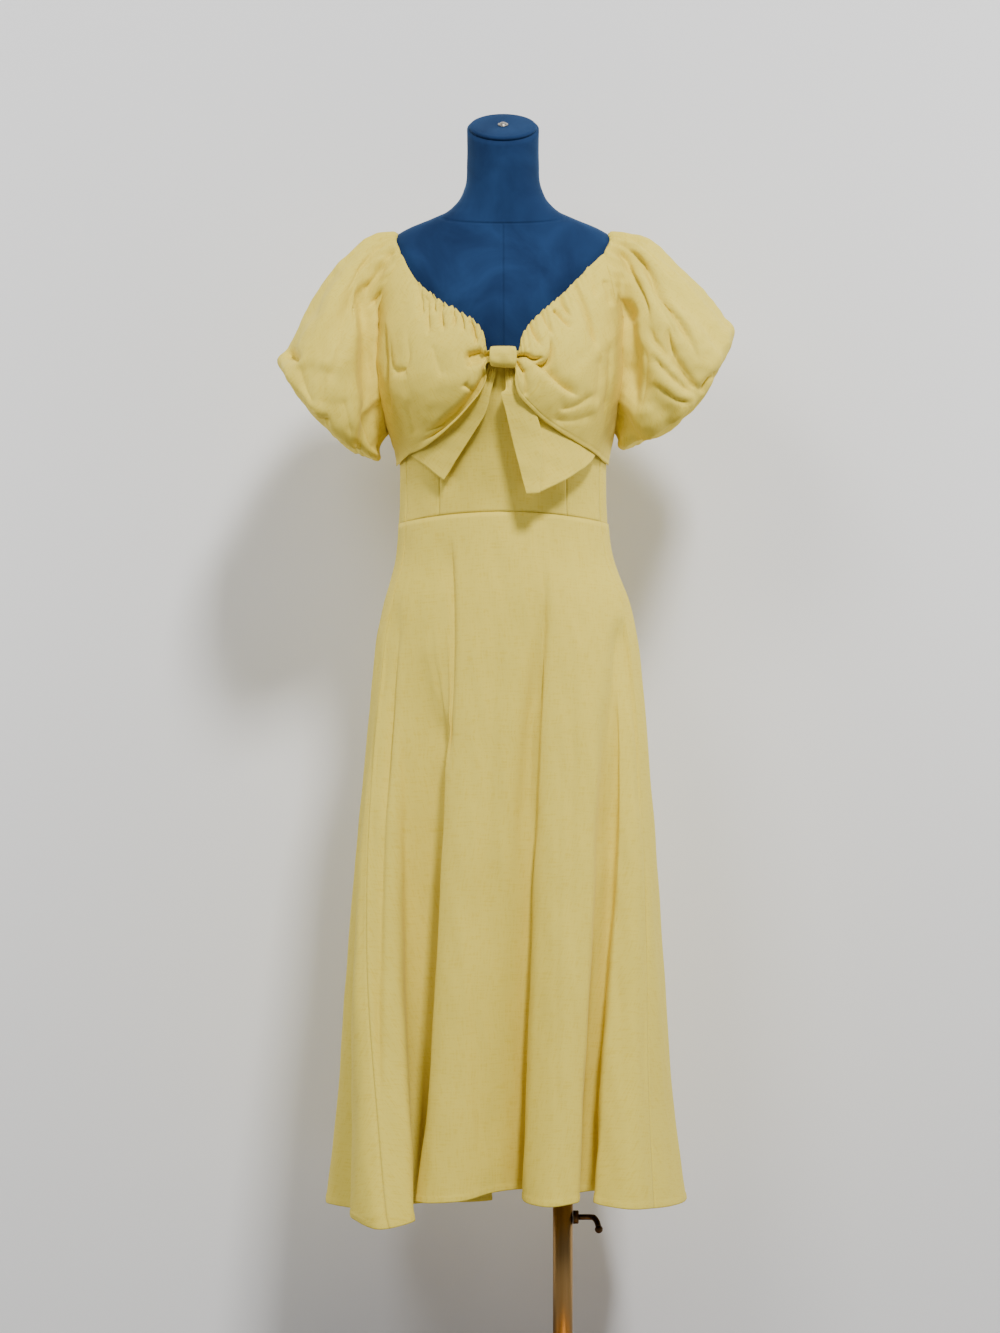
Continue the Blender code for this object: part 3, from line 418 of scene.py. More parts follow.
tint = add_node(tree, "ShaderNodeValToRGB", {"Fac": slubs.outputs["Value"]})
colour_band(tint, (0.75, "#DEC544"), (1.0, "#E5CF52"))
tree.links.new(tint.outputs["Color"], shader.inputs["Base Color"])
weave_bump = add_node(tree, "ShaderNodeBump", {"Height": weave.outputs["Value"]}, strength=0.25,
                      distance=0.0002)
slub_bump = add_node(tree, "ShaderNodeBump", {"Height": slubs.outputs["Value"],
                                              "Normal": weave_bump.outputs["Normal"]},
                     strength=0.4, distance=0.0002)
crumple_bump = add_node(tree, "ShaderNodeBump", {"Height": crumple.outputs["Fac"],
                                                 "Normal": slub_bump.outputs["Normal"]},
                        strength=0.22, distance=0.0010)
tree.links.new(crumple_bump.outputs["Normal"], shader.inputs["Normal"])
shader.inputs["Roughness"].default_value = 0.82
shader.inputs["Sheen Weight"].default_value = 0.09
shader.inputs["Sheen Roughness"].default_value = 0.45
shader.inputs["Sheen Tint"].default_value = linear("#FFF2C0")
shader.inputs["Specular IOR Level"].default_value = 0.25

# %% [markdown]
# ### Blue velvet
# Velvet is a short upright pile. Seen straight on it swallows light and looks deep; at its edges the
# fibre tips catch light, which the sheen gives. Where a hand has brushed it, the pile lies over and
# looks lighter, so slow uneven patches change the colour.

# %% Velvet material
blue_velvet, tree, shader = new_material("brushed_pile_velvet")
place = add_node(tree, "ShaderNodeTexCoord").outputs["Object"]
brushed = add_node(tree, "ShaderNodeTexNoise", {"Vector": place}, scale=14.0, detail=4.0, roughness=0.55,
                   distortion=0.6)
pile = add_node(tree, "ShaderNodeTexNoise", {"Vector": place}, scale=900.0, detail=2.0)
tint = add_node(tree, "ShaderNodeValToRGB", {"Fac": brushed.outputs["Fac"]})
colour_band(tint, (0.35, "#142848"), (0.72, "#1E385D"))
tree.links.new(tint.outputs["Color"], shader.inputs["Base Color"])
bump = add_node(tree, "ShaderNodeBump", {"Height": pile.outputs["Fac"]}, strength=0.35, distance=0.0004)
tree.links.new(bump.outputs["Normal"], shader.inputs["Normal"])
shader.inputs["Roughness"].default_value = 0.95
shader.inputs["Sheen Weight"].default_value = 0.35
shader.inputs["Sheen Roughness"].default_value = 0.35
shader.inputs["Sheen Tint"].default_value = linear("#7FA9D2")
shader.inputs["Specular IOR Level"].default_value = 0.1

# %% [markdown]
# ### Metals
# The pole is drawn brass tube with a worn polish: fine lines run along it and it has gone brown in
# patches. The clamp is cast bronze, darker and rougher, and the neck bolt is plain steel.

# %% Metal materials
Metal = namedtuple("Metal", "name light dark roughness grain stretch")
METALS = {
    "brass": Metal("drawn_aged_brass", "#BE9A64", "#98733F", 0.34, 60.0, 0.04),
    "bronze": Metal("cast_dark_bronze", "#6E5334", "#3C2A18", 0.42, 220.0, 1.0),
    "steel": Metal("turned_steel", "#B9B4AB", "#8F8A82", 0.35, 400.0, 1.0),
}
metal_of = {}
for key, metal in METALS.items():
    material, tree, shader = new_material(metal.name)
    place = add_node(tree, "ShaderNodeTexCoord").outputs["Object"]
    drawn = add_node(tree, "ShaderNodeMapping", {"Vector": place}, scale=(1.0, 1.0, metal.stretch))
    grain = add_node(tree, "ShaderNodeTexNoise", {"Vector": drawn.outputs["Vector"]}, scale=metal.grain,
                     detail=5.0, roughness=0.6)
    tint = add_node(tree, "ShaderNodeValToRGB", {"Fac": grain.outputs["Fac"]})
    colour_band(tint, (0.3, metal.dark), (0.7, metal.light))
    tree.links.new(tint.outputs["Color"], shader.inputs["Base Color"])
    wear = add_node(tree, "ShaderNodeMapRange", {"Value": grain.outputs["Fac"]})
    wear.inputs["To Min"].default_value = metal.roughness * 0.8
    wear.inputs["To Max"].default_value = metal.roughness * 1.3
    tree.links.new(wear.outputs["Result"], shader.inputs["Roughness"])
    shader.inputs["Metallic"].default_value = 1.0
    metal_of[key] = material

# %% [markdown]
# ## The skirt
# A flared skirt is nearly a cone at the waist and a wave at the hem. The hem is drawn in plan, once
# round, and each point of the waist morphs towards its point of the hem as it falls. Polar morphing
# keeps the cloth outside the form. The deep folds of the front follow the real hang.

# %% Skirt tables
SkirtRing = namedtuple("SkirtRing", "height half_width centre front back")
SKIRT = [
    SkirtRing(0.275, 0.2190, 0.002, 0.1650, 0.1700),
    SkirtRing(0.372, 0.2056, 0.002, 0.1550, 0.1620),
    SkirtRing(0.567, 0.1910, 0.002, 0.1420, 0.1520),
    SkirtRing(0.762, 0.1770, 0.004, 0.1300, 0.1420),
    SkirtRing(0.908, 0.1645, 0.005, 0.1200, 0.1330),
    SkirtRing(0.957, 0.1590, 0.004, 0.1160, 0.1270),
    SkirtRing(1.006, 0.1480, 0.004, 0.1100, 0.1180),
    SkirtRing(1.055, 0.1325, 0.002, 0.1020, 0.1060),
    SkirtRing(1.113, 0.1265, 0.000, 0.0945, 0.0922),
]
HemPoint = namedtuple("HemPoint", "name turn x y height start sway")
HEM = [
    HemPoint("left_seam", -68.0, -0.1435, -0.2130, 0.262, 0.95, 0.0),
    HemPoint("pillar_edge", -60.0, -0.1080, -0.1900, 0.268, 1.00, 1.5),
    HemPoint("under_start", -52.0, -0.1150, -0.1150, 0.280, 1.02, 2.5),
    HemPoint("under_end", -43.0, -0.0260, -0.0990, 0.283, 1.01, 3.7),
    HemPoint("under_turn", -40.5, -0.0120, -0.1130, 0.286, 1.01, 4.4),
    HemPoint("middle_start", -38.5, -0.0240, -0.1300, 0.287, 1.01, 4.8),
    HemPoint("middle_end", -31.5, -0.0880, -0.1450, 0.289, 1.01, 4.8),
    HemPoint("panel_edge", -30.0, -0.1040, -0.1590, 0.289, 1.01, 4.8),
    HemPoint("panel_start", -28.0, -0.0940, -0.1740, 0.289, 1.02, 4.8),
    HemPoint("panel_middle", -18.0, -0.0520, -0.1780, 0.291, 1.08, 2.2),
    HemPoint("panel_rise", -4.0, -0.0060, -0.1500, 0.300, 1.08, 0.0),
    HemPoint("second_valley", 13.0, 0.0310, -0.1130, 0.298, 1.04, 0.0),
    HemPoint("second_lip", 17.0, 0.0240, -0.1520, 0.292, 1.04, 0.0),
    HemPoint("second_edge", 20.0, 0.0260, -0.1720, 0.290, 1.02, 0.0),
    HemPoint("second_fold", 31.0, 0.0560, -0.2020, 0.287, 1.00, 0.0),
    HemPoint("second_side", 40.0, 0.0850, -0.1840, 0.290, 0.95, 0.0),
    HemPoint("third_valley", 48.0, 0.0950, -0.1140, 0.296, 0.92, 0.0),
    HemPoint("third_bottom", 52.0, 0.1130, -0.1100, 0.297, 0.92, 0.0),
    HemPoint("third_edge", 56.0, 0.1090, -0.1680, 0.288, 0.92, 0.0),
    HemPoint("third_fold", 61.0, 0.1450, -0.1760, 0.282, 0.92, 0.0),
    HemPoint("right_seam", 68.0, 0.1800, -0.1400, 0.279, 0.95, 0.0),
    HemPoint("right_side", 91.0, 0.2220, -0.0150, 0.278, 1.00, 0.0),
    HemPoint("back_dip_1", 112.0, 0.1880, 0.0780, 0.279, 0.95, 0.0),
    HemPoint("back_fold_1", 130.0, 0.1640, 0.1660, 0.275, 1.00, 0.0),
    HemPoint("back_dip_2", 147.0, 0.0950, 0.1290, 0.279, 0.95, 0.0),
    HemPoint("back_fold_2", 164.0, 0.0570, 0.2020, 0.274, 1.02, 0.0),
    HemPoint("back_dip_3", 180.0, -0.0010, 0.1480, 0.279, 0.98, 0.0),
    HemPoint("back_fold_3", 197.0, -0.0620, 0.2060, 0.274, 1.02, 0.0),
    HemPoint("back_dip_4", 214.0, -0.1040, 0.1330, 0.279, 0.95, 0.0),
    HemPoint("back_fold_4", 232.0, -0.1680, 0.1700, 0.275, 1.00, 0.0),
    HemPoint("back_dip_5", 249.0, -0.1930, 0.0820, 0.279, 0.95, 0.0),
    HemPoint("left_side", 268.0, -0.2150, -0.0250, 0.274, 0.98, 0.0),
    HemPoint("left_dip", 281.0, -0.1730, -0.1000, 0.272, 0.86, 0.0),
    HemPoint("left_edge", 286.0, -0.1800, -0.1560, 0.272, 0.90, 0.0),
]

# %% Skirt surface
hem_closed = HEM + [HEM[0]._replace(turn=HEM[0].turn + 360.0)]
hem_plan = np.array([[p.x, p.y] for p in hem_closed])
hem_steps = np.linalg.norm(np.diff(hem_plan, axis=0), axis=1)
hem_knots = np.concatenate([[0.0], np.cumsum(hem_steps)])
hem_turns = np.array([p.turn for p in hem_closed])
hem_rows = smooth_reader(hem_knots, [[p.x, p.y, p.height, p.start, p.sway] for p in hem_closed],
                         wrap=(hem_steps[-1], hem_steps[0]))
skirt_rings = table_reader(SKIRT)
hem_place = {p.name: place for p, place in zip(HEM, hem_knots)}


def skirt_surface(place, fall):
    """Cloth points at places along the hem, in metres, and shares of the fall from the waist."""
    place = np.mod(place, hem_knots[-1])
    turn = np.interp(place, hem_knots, hem_turns)
    x, y, hem_height, start, sway = np.moveaxis(hem_rows(place), -1, 0)
    top = waist_height(turn) - WAIST_GAP / 2
    height = top + (hem_height - top) * fall
    half_width, centre, front, back = np.moveaxis(skirt_rings(hem_height), -1, 0)
    across = (x - centre) / half_width
    ahead = -y / np.where(y < 0, front, back)
    hem_turn = turn + (np.degrees(np.arctan2(across, ahead)) - turn + 180.0) % 360.0 - 180.0
    fold = np.clip((start - height) / (start - hem_height), 0.0, None)
    new_turn = turn + (hem_turn - turn) * fold + sway * 4.0 * fall * (1.0 - fall)
    reach = 1.0 + (np.hypot(across, ahead) - 1.0) * fold
    half_width, centre, front, back = np.moveaxis(skirt_rings(height), -1, 0)
    ring = ring_point(half_width, front, back, new_turn, height, centre)
    middle = TORSO_X + centre
    return np.stack([middle + (ring[..., 0] - middle) * reach, ring[..., 1] * reach, height], axis=-1)


# %% [markdown]
# ### Creases of the skirt
# Long soft troughs run down between the deep folds, and the left fold has a crisp edge almost from the
# waist. A negative depth is a ridge, which softens the valley where that fold begins. The left side
# seam drifts forwards as it falls. A narrow hem is turned up and sewn, which puckers the last
# centimetre a little. The back has similar creases, as it hangs the same way.

# %% Skirt creases and the two panels
SKIRT_CREASES = [
    Crease(0.0110, 0.0044, -0.50, [(-0.0640, 1.092), (-0.0622, 1.040), (-0.0608, 0.980), (-0.0612, 0.910),
                                   (-0.0640, 0.850), (-0.0670, 0.800)]),
    Crease(0.0120, -0.0020, 0.00, [(-0.0950, 0.970), (-0.0880, 0.925), (-0.0770, 0.882), (-0.0650, 0.840)]),
    Crease(0.0080, 0.0036, -0.25, [(0.0513, 1.056), (0.0513, 1.004), (0.0501, 0.956), (0.0441, 0.909),
                                   (0.0369, 0.861), (0.0346, 0.789), (0.0322, 0.706)]),
    Crease(0.0150, 0.0030, 0.00, [(0.0460, 1.020), (0.0360, 0.900), (0.0270, 0.800), (0.0220, 0.660)]),
    Crease(0.0130, 0.0050, 0.10, [(0.1450, 0.990), (0.1421, 0.956), (0.1349, 0.885), (0.1301, 0.813),
                                  (0.1242, 0.741), (0.1182, 0.670)]),
    Crease(0.0060, 0.0030, -0.40, [(-0.1267, 1.000), (-0.1350, 0.885), (-0.1410, 0.765), (-0.1446, 0.646),
                                   (-0.1458, 0.526), (-0.1458, 0.407), (-0.1440, 0.300)]),
    Crease(0.012, 0.0030, 0.10, [(-0.126, 1.010), (-0.132, 0.930), (-0.139, 0.835), (-0.146, 0.720)]),
    Crease(0.010, 0.0025, 0.40, [(-0.164, 0.850), (-0.169, 0.686), (-0.172, 0.500), (-0.178, 0.300)]),
    Crease(0.016, 0.0025, 0.00, [(-0.007, 0.990), (-0.011, 0.860), (-0.016, 0.700), (-0.020, 0.560)]),
    Crease(0.014, 0.0022, 0.20, [(-0.040, 0.700), (-0.036, 0.570), (-0.030, 0.420), (-0.024, 0.320)]),
    Crease(0.012, 0.0022, -0.20, [(0.082, 0.960), (0.085, 0.840), (0.083, 0.700), (0.080, 0.560)]),
    Crease(0.012, 0.0028, 0.25, [(0.150, 1.000), (0.161, 0.930), (0.166, 0.840), (0.168, 0.700)]),
    Crease(0.014, 0.0022, 0.00, [(0.128, 0.760), (0.134, 0.640), (0.140, 0.500), (0.146, 0.380)]),
    Crease(0.006, 0.0012, 0.00, [(-0.145, 0.760), (-0.148, 0.600), (-0.152, 0.430), (-0.156, 0.290)]),
    Crease(0.004, 0.0007, 0.00, [(0.070, 0.850), (0.066, 0.700), (0.064, 0.500), (0.063, 0.310)]),
]
BACK_CREASES = [
    Crease(0.010, 0.0025, 0.20, [(-0.088, 1.060), (-0.092, 1.000), (-0.095, 0.930), (-0.098, 0.850)]),
    Crease(0.012, 0.0022, -0.20, [(0.070, 1.050), (0.074, 0.980), (0.078, 0.900), (0.080, 0.800)]),
    Crease(0.014, 0.0025, 0.00, [(0.012, 0.960), (0.016, 0.860), (0.014, 0.740), (0.010, 0.620)]),
    Crease(0.012, 0.0025, 0.25, [(-0.150, 0.900), (-0.158, 0.780), (-0.164, 0.640), (-0.168, 0.500)]),
    Crease(0.012, 0.0022, 0.00, [(0.140, 0.840), (0.148, 0.720), (0.154, 0.600), (0.158, 0.470)]),
    Crease(0.014, 0.0022, 0.15, [(-0.052, 0.700), (-0.056, 0.580), (-0.058, 0.450), (-0.058, 0.330)]),
    Crease(0.012, 0.0020, 0.00, [(0.050, 0.680), (0.054, 0.560), (0.058, 0.440), (0.060, 0.340)]),
]
HEM_DEPTH = 0.008
HEM_ROWS = 8               # the turned-up hem has rows of its own
HEM_START = 0.986          # share of the fall at which they begin
PUCKER = 0.0085            # from one pucker of the sewn hem to the next
SKIRT_LENGTH = 0.84
HANG = np.array([1.0, 1.0, 0.22])     # hanging cloth is uneven in long upright streaks
SEAM_DRIFT = 0.011         # how far the left seam drifts forwards on its way down


def skirt_panel(node, seams, drifts, columns, rows, creases, seed, flat, area):
    """A panel between two seams, given by their places at the waist and how far each drifts to the hem."""
    falls = np.concatenate([np.linspace(0.0, 0.984, rows), np.linspace(HEM_START, 1.0, HEM_ROWS)])
    share, fall = np.meshgrid(np.linspace(0.0, 1.0, columns + 1), falls)
    first = seams[0] + drifts[0] * fall + SEAM / 2
    last = seams[1] + drifts[1] * fall - SEAM / 2
    place = first + (last - first) * share
    surface = skirt_surface(place, fall)
    from_hem = (1.0 - fall) * SKIRT_LENGTH
    from_waist = fall * SKIRT_LENGTH
    edge = np.minimum(place - first, last - place)
    lift = crease_lift(surface, creases, softness=1.5) * smooth_step(from_waist / 0.03)
    lift += 0.0010 * swell(surface * HANG, 0.050, seed) * smooth_step(from_waist / 0.12)
    lift += 0.0003 * swell(surface * HANG, 0.016, seed + 1) * smooth_step(from_waist / 0.03)
    lift *= smooth_step(edge / (0.004 + 0.010 * fall))
    turned_up = smooth_step((HEM_DEPTH - from_hem) / 0.0015)
    pucker = np.cos(2.0 * np.pi * place / PUCKER + 2.0 * np.sin(place / 0.021))
    lift += turned_up * (0.0004 + 0.0004 * pucker * smooth_step((from_hem + 0.001) / 0.004))
    lift -= SEAM_DIP * np.exp(-edge / 0.0025) + WAIST_SEAM_DIP * np.exp(-from_waist / 0.002)
    hung = clear_of_form(pushed(surface, lift), LAY)
    cloth_piece(f"{node}_cloth", node, hung, flat, area)


seam_left, seam_right = hem_place["left_seam"], hem_place["right_seam"]
skirt_panel("skirt_front", (seam_left, seam_right), (SEAM_DRIFT, 0.0), 330, 130, SKIRT_CREASES, 11,
            (0.84, 0.86), 0.43)
skirt_panel("skirt_back", (seam_right, hem_knots[-1]), (0.0, SEAM_DRIFT), 240, 100, BACK_CREASES, 23,
            (1.16, 0.86), 0.65)

# %% [markdown]
# ## The bodice
# Under the bow lies a fitted bodice of four pieces. It is cut close, so it needs only slight
# unevenness and seams that dip where the two layers are sewn together.

# %% Bodice pieces
BackEdge = namedtuple("BackEdge", "turn height")
BACK_TOP = [
    BackEdge(66.0, 1.2080), BackEdge(80.0, 1.2090), BackEdge(95.0, 1.2110), BackEdge(103.0, 1.2330),
    BackEdge(110.0, 1.2700), BackEdge(117.5, 1.3250), BackEdge(124.0, 1.3800), BackEdge(129.0, 1.4180),
    BackEdge(140.0, 1.4170), BackEdge(160.0, 1.4070), BackEdge(180.0, 1.4040),
]
back_edge = table_reader(BACK_TOP)
TORSO_RADIUS = 0.115       # turns a width into degrees
SEAM_RADIUS = 0.12         # turns degrees from a seam into a width


def centre_top(turn):
    """The centre piece ends level, hidden under the bow."""
    return BODICE_TOP_Z + 0.0 * turn


def side_top(turn):
    """The side pieces slope down from the centre piece to the side seam."""
    share = (np.abs(turn) - PRINCESS_TURN) / (SIDE_SEAM_TURN - PRINCESS_TURN)
    return BODICE_TOP_Z + (back_edge(SIDE_SEAM_TURN)[0] - BODICE_TOP_Z) * share


def back_top(turn):
    """The back follows its table, the same on both halves."""
    return back_edge(180.0 - np.abs(turn - 180.0))[..., 0]


def bodice_piece(name, node, turns, top_of, columns, rows, seed, flat, area):
    """A fitted piece between two turns, up to the height that top_of gives."""
    gap = math.degrees(SEAM / 2 / TORSO_RADIUS)
    turns = np.linspace(turns[0] + gap, turns[1] - gap, columns + 1)
    turn, share = np.meshgrid(turns, np.linspace(0.0, 1.0, rows + 1))
    bottom = waist_height(turn) + WAIST_GAP / 2
    height = bottom + (top_of(turn) - bottom) * share
    surface = worn_point(turn, height)
    edge = np.radians(np.minimum(turn - turns[0], turns[-1] - turn)) * SEAM_RADIUS
    from_waist = height - bottom
    lift = 0.0007 * swell(surface, 0.05, seed) * smooth_step(edge / 0.01)
    lift -= SEAM_DIP * np.exp(-edge / 0.002) + WAIST_SEAM_DIP * np.exp(-from_waist / 0.002)
    surface = worn_point(turn, height, lift)
    cloth_piece(name, node, surface, flat, area)


bodice_piece("bodice_centre_cloth", "bodice_front_centre", (-PRINCESS_TURN, PRINCESS_TURN), centre_top,
             60, 50, 31, (0.16, 0.19), None)
for side_name, sign in (("left", -1), ("right", 1)):
    ends = sorted((sign * PRINCESS_TURN, sign * SIDE_SEAM_TURN))
    bodice_piece(f"bodice_side_{side_name}_cloth", f"bodice_side_{side_name}", ends, side_top,
                 30, 50, 33 + sign, (0.075, 0.19), 0.0095)
bodice_piece("bodice_back_cloth", "bodice_back", (SIDE_SEAM_TURN, 360.0 - SIDE_SEAM_TURN), back_top,
             110, 70, 37, (0.44, 0.32), 0.106)

# %% [markdown]
# ## The bust drapes
# Each cup is one loop of the bow: cloth drawn up along the neck edge and in at the knot, hanging free
# below. Its four edges are drawn on the bodice, a blend fills the middle, and creases run from the
# gathers and from the knot as they do on the real one.

# %% Drape tables
Place = namedtuple("Place", "turn height lift")
DRAPE_NECK = {
    "left": [Place(-1.5, 1.2990, 0.0200), Place(-5.6, 1.2990, 0.0200), Place(-8.3, 1.3220, 0.0190),
             Place(-11.3, 1.3350, 0.0170), Place(-18.6, 1.3480, 0.0130), Place(-30.4, 1.3670, 0.0080),
             Place(-39.5, 1.3860, 0.0055), Place(-45.6, 1.4050, 0.0042), Place(-51.5, 1.4215, 0.0030),
             Place(-59.0, 1.4290, LAY)],
    "right": [Place(-1.5, 1.2990, 0.0200), Place(-5.6, 1.2990, 0.0200), Place(-8.1, 1.3200, 0.0190),
              Place(-10.9, 1.3320, 0.0170), Place(-18.0, 1.3520, 0.0130), Place(-28.0, 1.3750, 0.0080),
              Place(-34.0, 1.3910, 0.0055), Place(-41.5, 1.4080, 0.0042), Place(-49.5, 1.4215, 0.0030),
              Place(-59.0, 1.4290, LAY)],
}
DRAPE_SIDE = {
    "left": [Place(-59.0, 1.4290, LAY), Place(-74.0, 1.3760, 0.0035), Place(-87.0, 1.3230, 0.0090),
             Place(-90.0, 1.2620, 0.0130), Place(-91.0, 1.2180, 0.0090), Place(-88.0, 1.1735, LAY)],
    "right": [Place(-59.0, 1.4290, LAY), Place(-70.0, 1.3760, 0.0030), Place(-83.0, 1.3230, 0.0045),
              Place(-88.0, 1.2620, 0.0075), Place(-89.0, 1.2180, 0.0060), Place(-88.0, 1.1735, LAY)],
}
DRAPE_LOWER = {
    "left": [Place(-1.5, 1.2850, 0.0200), Place(-6.5, 1.2862, 0.0210), Place(-7.7, 1.2654, 0.0210),
             Place(-9.9, 1.2519, 0.0200), Place(-15.0, 1.2353, 0.0200), Place(-22.0, 1.2178, 0.0185),
             Place(-31.8, 1.2004, 0.0150), Place(-41.7, 1.1886, 0.0115), Place(-57.3, 1.1806, 0.0065),
             Place(-73.4, 1.1715, 0.0030), Place(-88.0, 1.1690, LAY)],
    "right": [Place(-1.5, 1.2850, 0.0200), Place(-4.6, 1.2819, 0.0225), Place(-5.0, 1.2636, 0.0250),
              Place(-6.4, 1.2488, 0.0255), Place(-11.1, 1.2342, 0.0250), Place(-16.8, 1.2209, 0.0230),
              Place(-25.9, 1.2067, 0.0195), Place(-38.3, 1.1938, 0.0145), Place(-55.4, 1.1813, 0.0085),
              Place(-68.3, 1.1741, 0.0035), Place(-88.0, 1.1700, LAY)],
}
DRAPE_FULLNESS = {"left": 0.0120, "right": 0.0100}
DRAPE_SIDEWAYS = {"left": 1.6, "right": 1.15}     # above 1, a cup is fullest nearer to the arm
DRAPE_GATHERS = {"left": (0.0021, 0.4), "right": (0.0017, 2.1)}     # height and phase
NECK_SPACING = 0.0098      # from one gather of the neck edge to the next
KNOT_SPACING = 0.0085      # the same at the knot
DRAPE_CREASES = {
    "left": [
        Crease(0.0036, 0.0095, 0.20, [(-0.014, 1.286), (-0.0225, 1.274), (-0.030, 1.261), (-0.040, 1.249),
                                      (-0.052, 1.236), (-0.066, 1.224), (-0.080, 1.213), (-0.098, 1.203)]),
        Crease(0.0017, 0.0042, 0.00, [(-0.020, 1.272), (-0.029, 1.2560), (-0.040, 1.2425), (-0.054, 1.2275),
                                      (-0.070, 1.2140), (-0.088, 1.2010), (-0.108, 1.1915)]),
        Crease(0.0018, 0.0034, 0.00, [(-0.019, 1.296), (-0.024, 1.284), (-0.027, 1.268), (-0.033, 1.256)]),
        Crease(0.0028, 0.0090, 0.00, [(-0.004, 1.295), (-0.019, 1.2955), (-0.031, 1.294), (-0.046, 1.292)]),
        Crease(0.0050, 0.0130, 0.00, [(-0.022, 1.2950), (-0.034, 1.2935), (-0.048, 1.2910)]),
        Crease(0.0024, 0.0060, 0.00, [(-0.016, 1.291), (-0.028, 1.289), (-0.040, 1.284)]),
        Crease(0.0030, 0.0021, 0.00, [(-0.1365, 1.334), (-0.1372, 1.305), (-0.134, 1.285), (-0.125, 1.279),
                                      (-0.1165, 1.284), (-0.1135, 1.302), (-0.1135, 1.334)]),
        Crease(0.0050, 0.0018, 0.00, [(-0.1330, 1.2800), (-0.1240, 1.2765), (-0.1160, 1.2800)]),
        Crease(0.0024, 0.0030, 0.00, [(-0.037, 1.293), (-0.040, 1.286), (-0.043, 1.279)]),
        Crease(0.0030, 0.0035, 0.20, [(-0.049, 1.261), (-0.043, 1.256), (-0.036, 1.251)]),
        Crease(0.0028, 0.0040, 0.20, [(-0.093, 1.372), (-0.0925, 1.348), (-0.090, 1.318)]),
        Crease(0.0026, 0.0052, 0.20, [(-0.070, 1.364), (-0.076, 1.350), (-0.0755, 1.338), (-0.070, 1.322)]),
        Crease(0.0030, 0.0046, 0.20, [(-0.106, 1.392), (-0.101, 1.366), (-0.099, 1.338)]),
        Crease(0.0024, 0.0042, -0.20, [(-0.090, 1.384), (-0.084, 1.364), (-0.081, 1.344)]),
        Crease(0.0024, 0.0048, 0.20, [(-0.066, 1.364), (-0.061, 1.347), (-0.059, 1.326)]),
        Crease(0.0024, 0.0040, -0.20, [(-0.055, 1.358), (-0.049, 1.340), (-0.046, 1.320)]),
        Crease(0.0022, 0.0044, 0.00, [(-0.043, 1.348), (-0.036, 1.328), (-0.031, 1.306)]),
        Crease(0.0060, 0.0016, 0.20, [(-0.085, 1.312), (-0.080, 1.288), (-0.073, 1.266)]),
        Crease(0.0040, 0.0036, -0.20, [(-0.142, 1.345), (-0.143, 1.300), (-0.140, 1.255), (-0.137, 1.225)]),
        Crease(0.0065, 0.0022, 0.20, [(-0.118, 1.245), (-0.112, 1.220), (-0.106, 1.200)]),
    ],
    "right": [
        Crease(0.0026, 0.0085, 0.00, [(0.004, 1.292), (0.018, 1.2930), (0.028, 1.2940), (0.038, 1.2895),
                                      (0.050, 1.2935)]),
        Crease(0.0030, 0.0060, -0.20, [(0.034, 1.286), (0.046, 1.2835), (0.054, 1.287), (0.0575, 1.299),
                                       (0.057, 1.322)]),
        Crease(0.0062, 0.0060, 0.20, [(0.038, 1.290), (0.050, 1.2800), (0.062, 1.268), (0.076, 1.256),
                                      (0.094, 1.246)]),
        Crease(0.0022, 0.0045, 0.00, [(0.012, 1.292), (0.017, 1.285), (0.022, 1.278), (0.027, 1.272)]),
        Crease(0.0032, 0.0085, -0.20, [(0.080, 1.398), (0.090, 1.376), (0.100, 1.354), (0.108, 1.330),
                                       (0.116, 1.302)]),
        Crease(0.0026, 0.0054, 0.20, [(0.058, 1.352), (0.070, 1.341), (0.082, 1.327)]),
        Crease(0.0050, 0.0028, 0.20, [(0.064, 1.231), (0.080, 1.2330), (0.096, 1.240), (0.114, 1.254)]),
        Crease(0.0060, 0.0020, 0.10, [(0.055, 1.222), (0.074, 1.218), (0.094, 1.221), (0.114, 1.230)]),
        Crease(0.0032, 0.0024, 0.20, [(0.023, 1.280), (0.027, 1.262), (0.025, 1.244)]),
        Crease(0.0040, 0.0036, 0.20, [(0.122, 1.392), (0.127, 1.376), (0.129, 1.358)]),
        Crease(0.0050, 0.0030, -0.20, [(0.130, 1.320), (0.131, 1.290), (0.129, 1.258), (0.121, 1.214)]),
        Crease(0.0026, 0.0044, 0.20, [(0.030, 1.340), (0.036, 1.322), (0.046, 1.304)]),
        Crease(0.0024, 0.0042, 0.20, [(0.044, 1.354), (0.051, 1.336), (0.060, 1.318)]),
        Crease(0.0030, 0.0046, 0.20, [(0.100, 1.414), (0.107, 1.392), (0.112, 1.366)]),
        Crease(0.0026, 0.0040, -0.20, [(0.066, 1.378), (0.072, 1.360), (0.084, 1.340)]),
        Crease(0.0055, 0.0022, 0.10, [(0.118, 1.300), (0.118, 1.270), (0.112, 1.235)]),
    ],
}


def mirrored(rows, side):
    """Rows of turn, height and lift; the tables give the turns of the left side."""
    return [[row.turn if side == "left" else -row.turn, row.height, row.lift] for row in rows]


def route_reader(rows):
    """Reads a route by the share of its length; a degree counts as 2.5 mm."""
    rows = np.array(rows, float)
    steps = np.linalg.norm(np.diff(rows * np.array([0.0025, 1.0, 1.0]), axis=0), axis=1)
    return smooth_reader(np.concatenate([[0.0], np.cumsum(steps)]) / steps.sum(), rows)


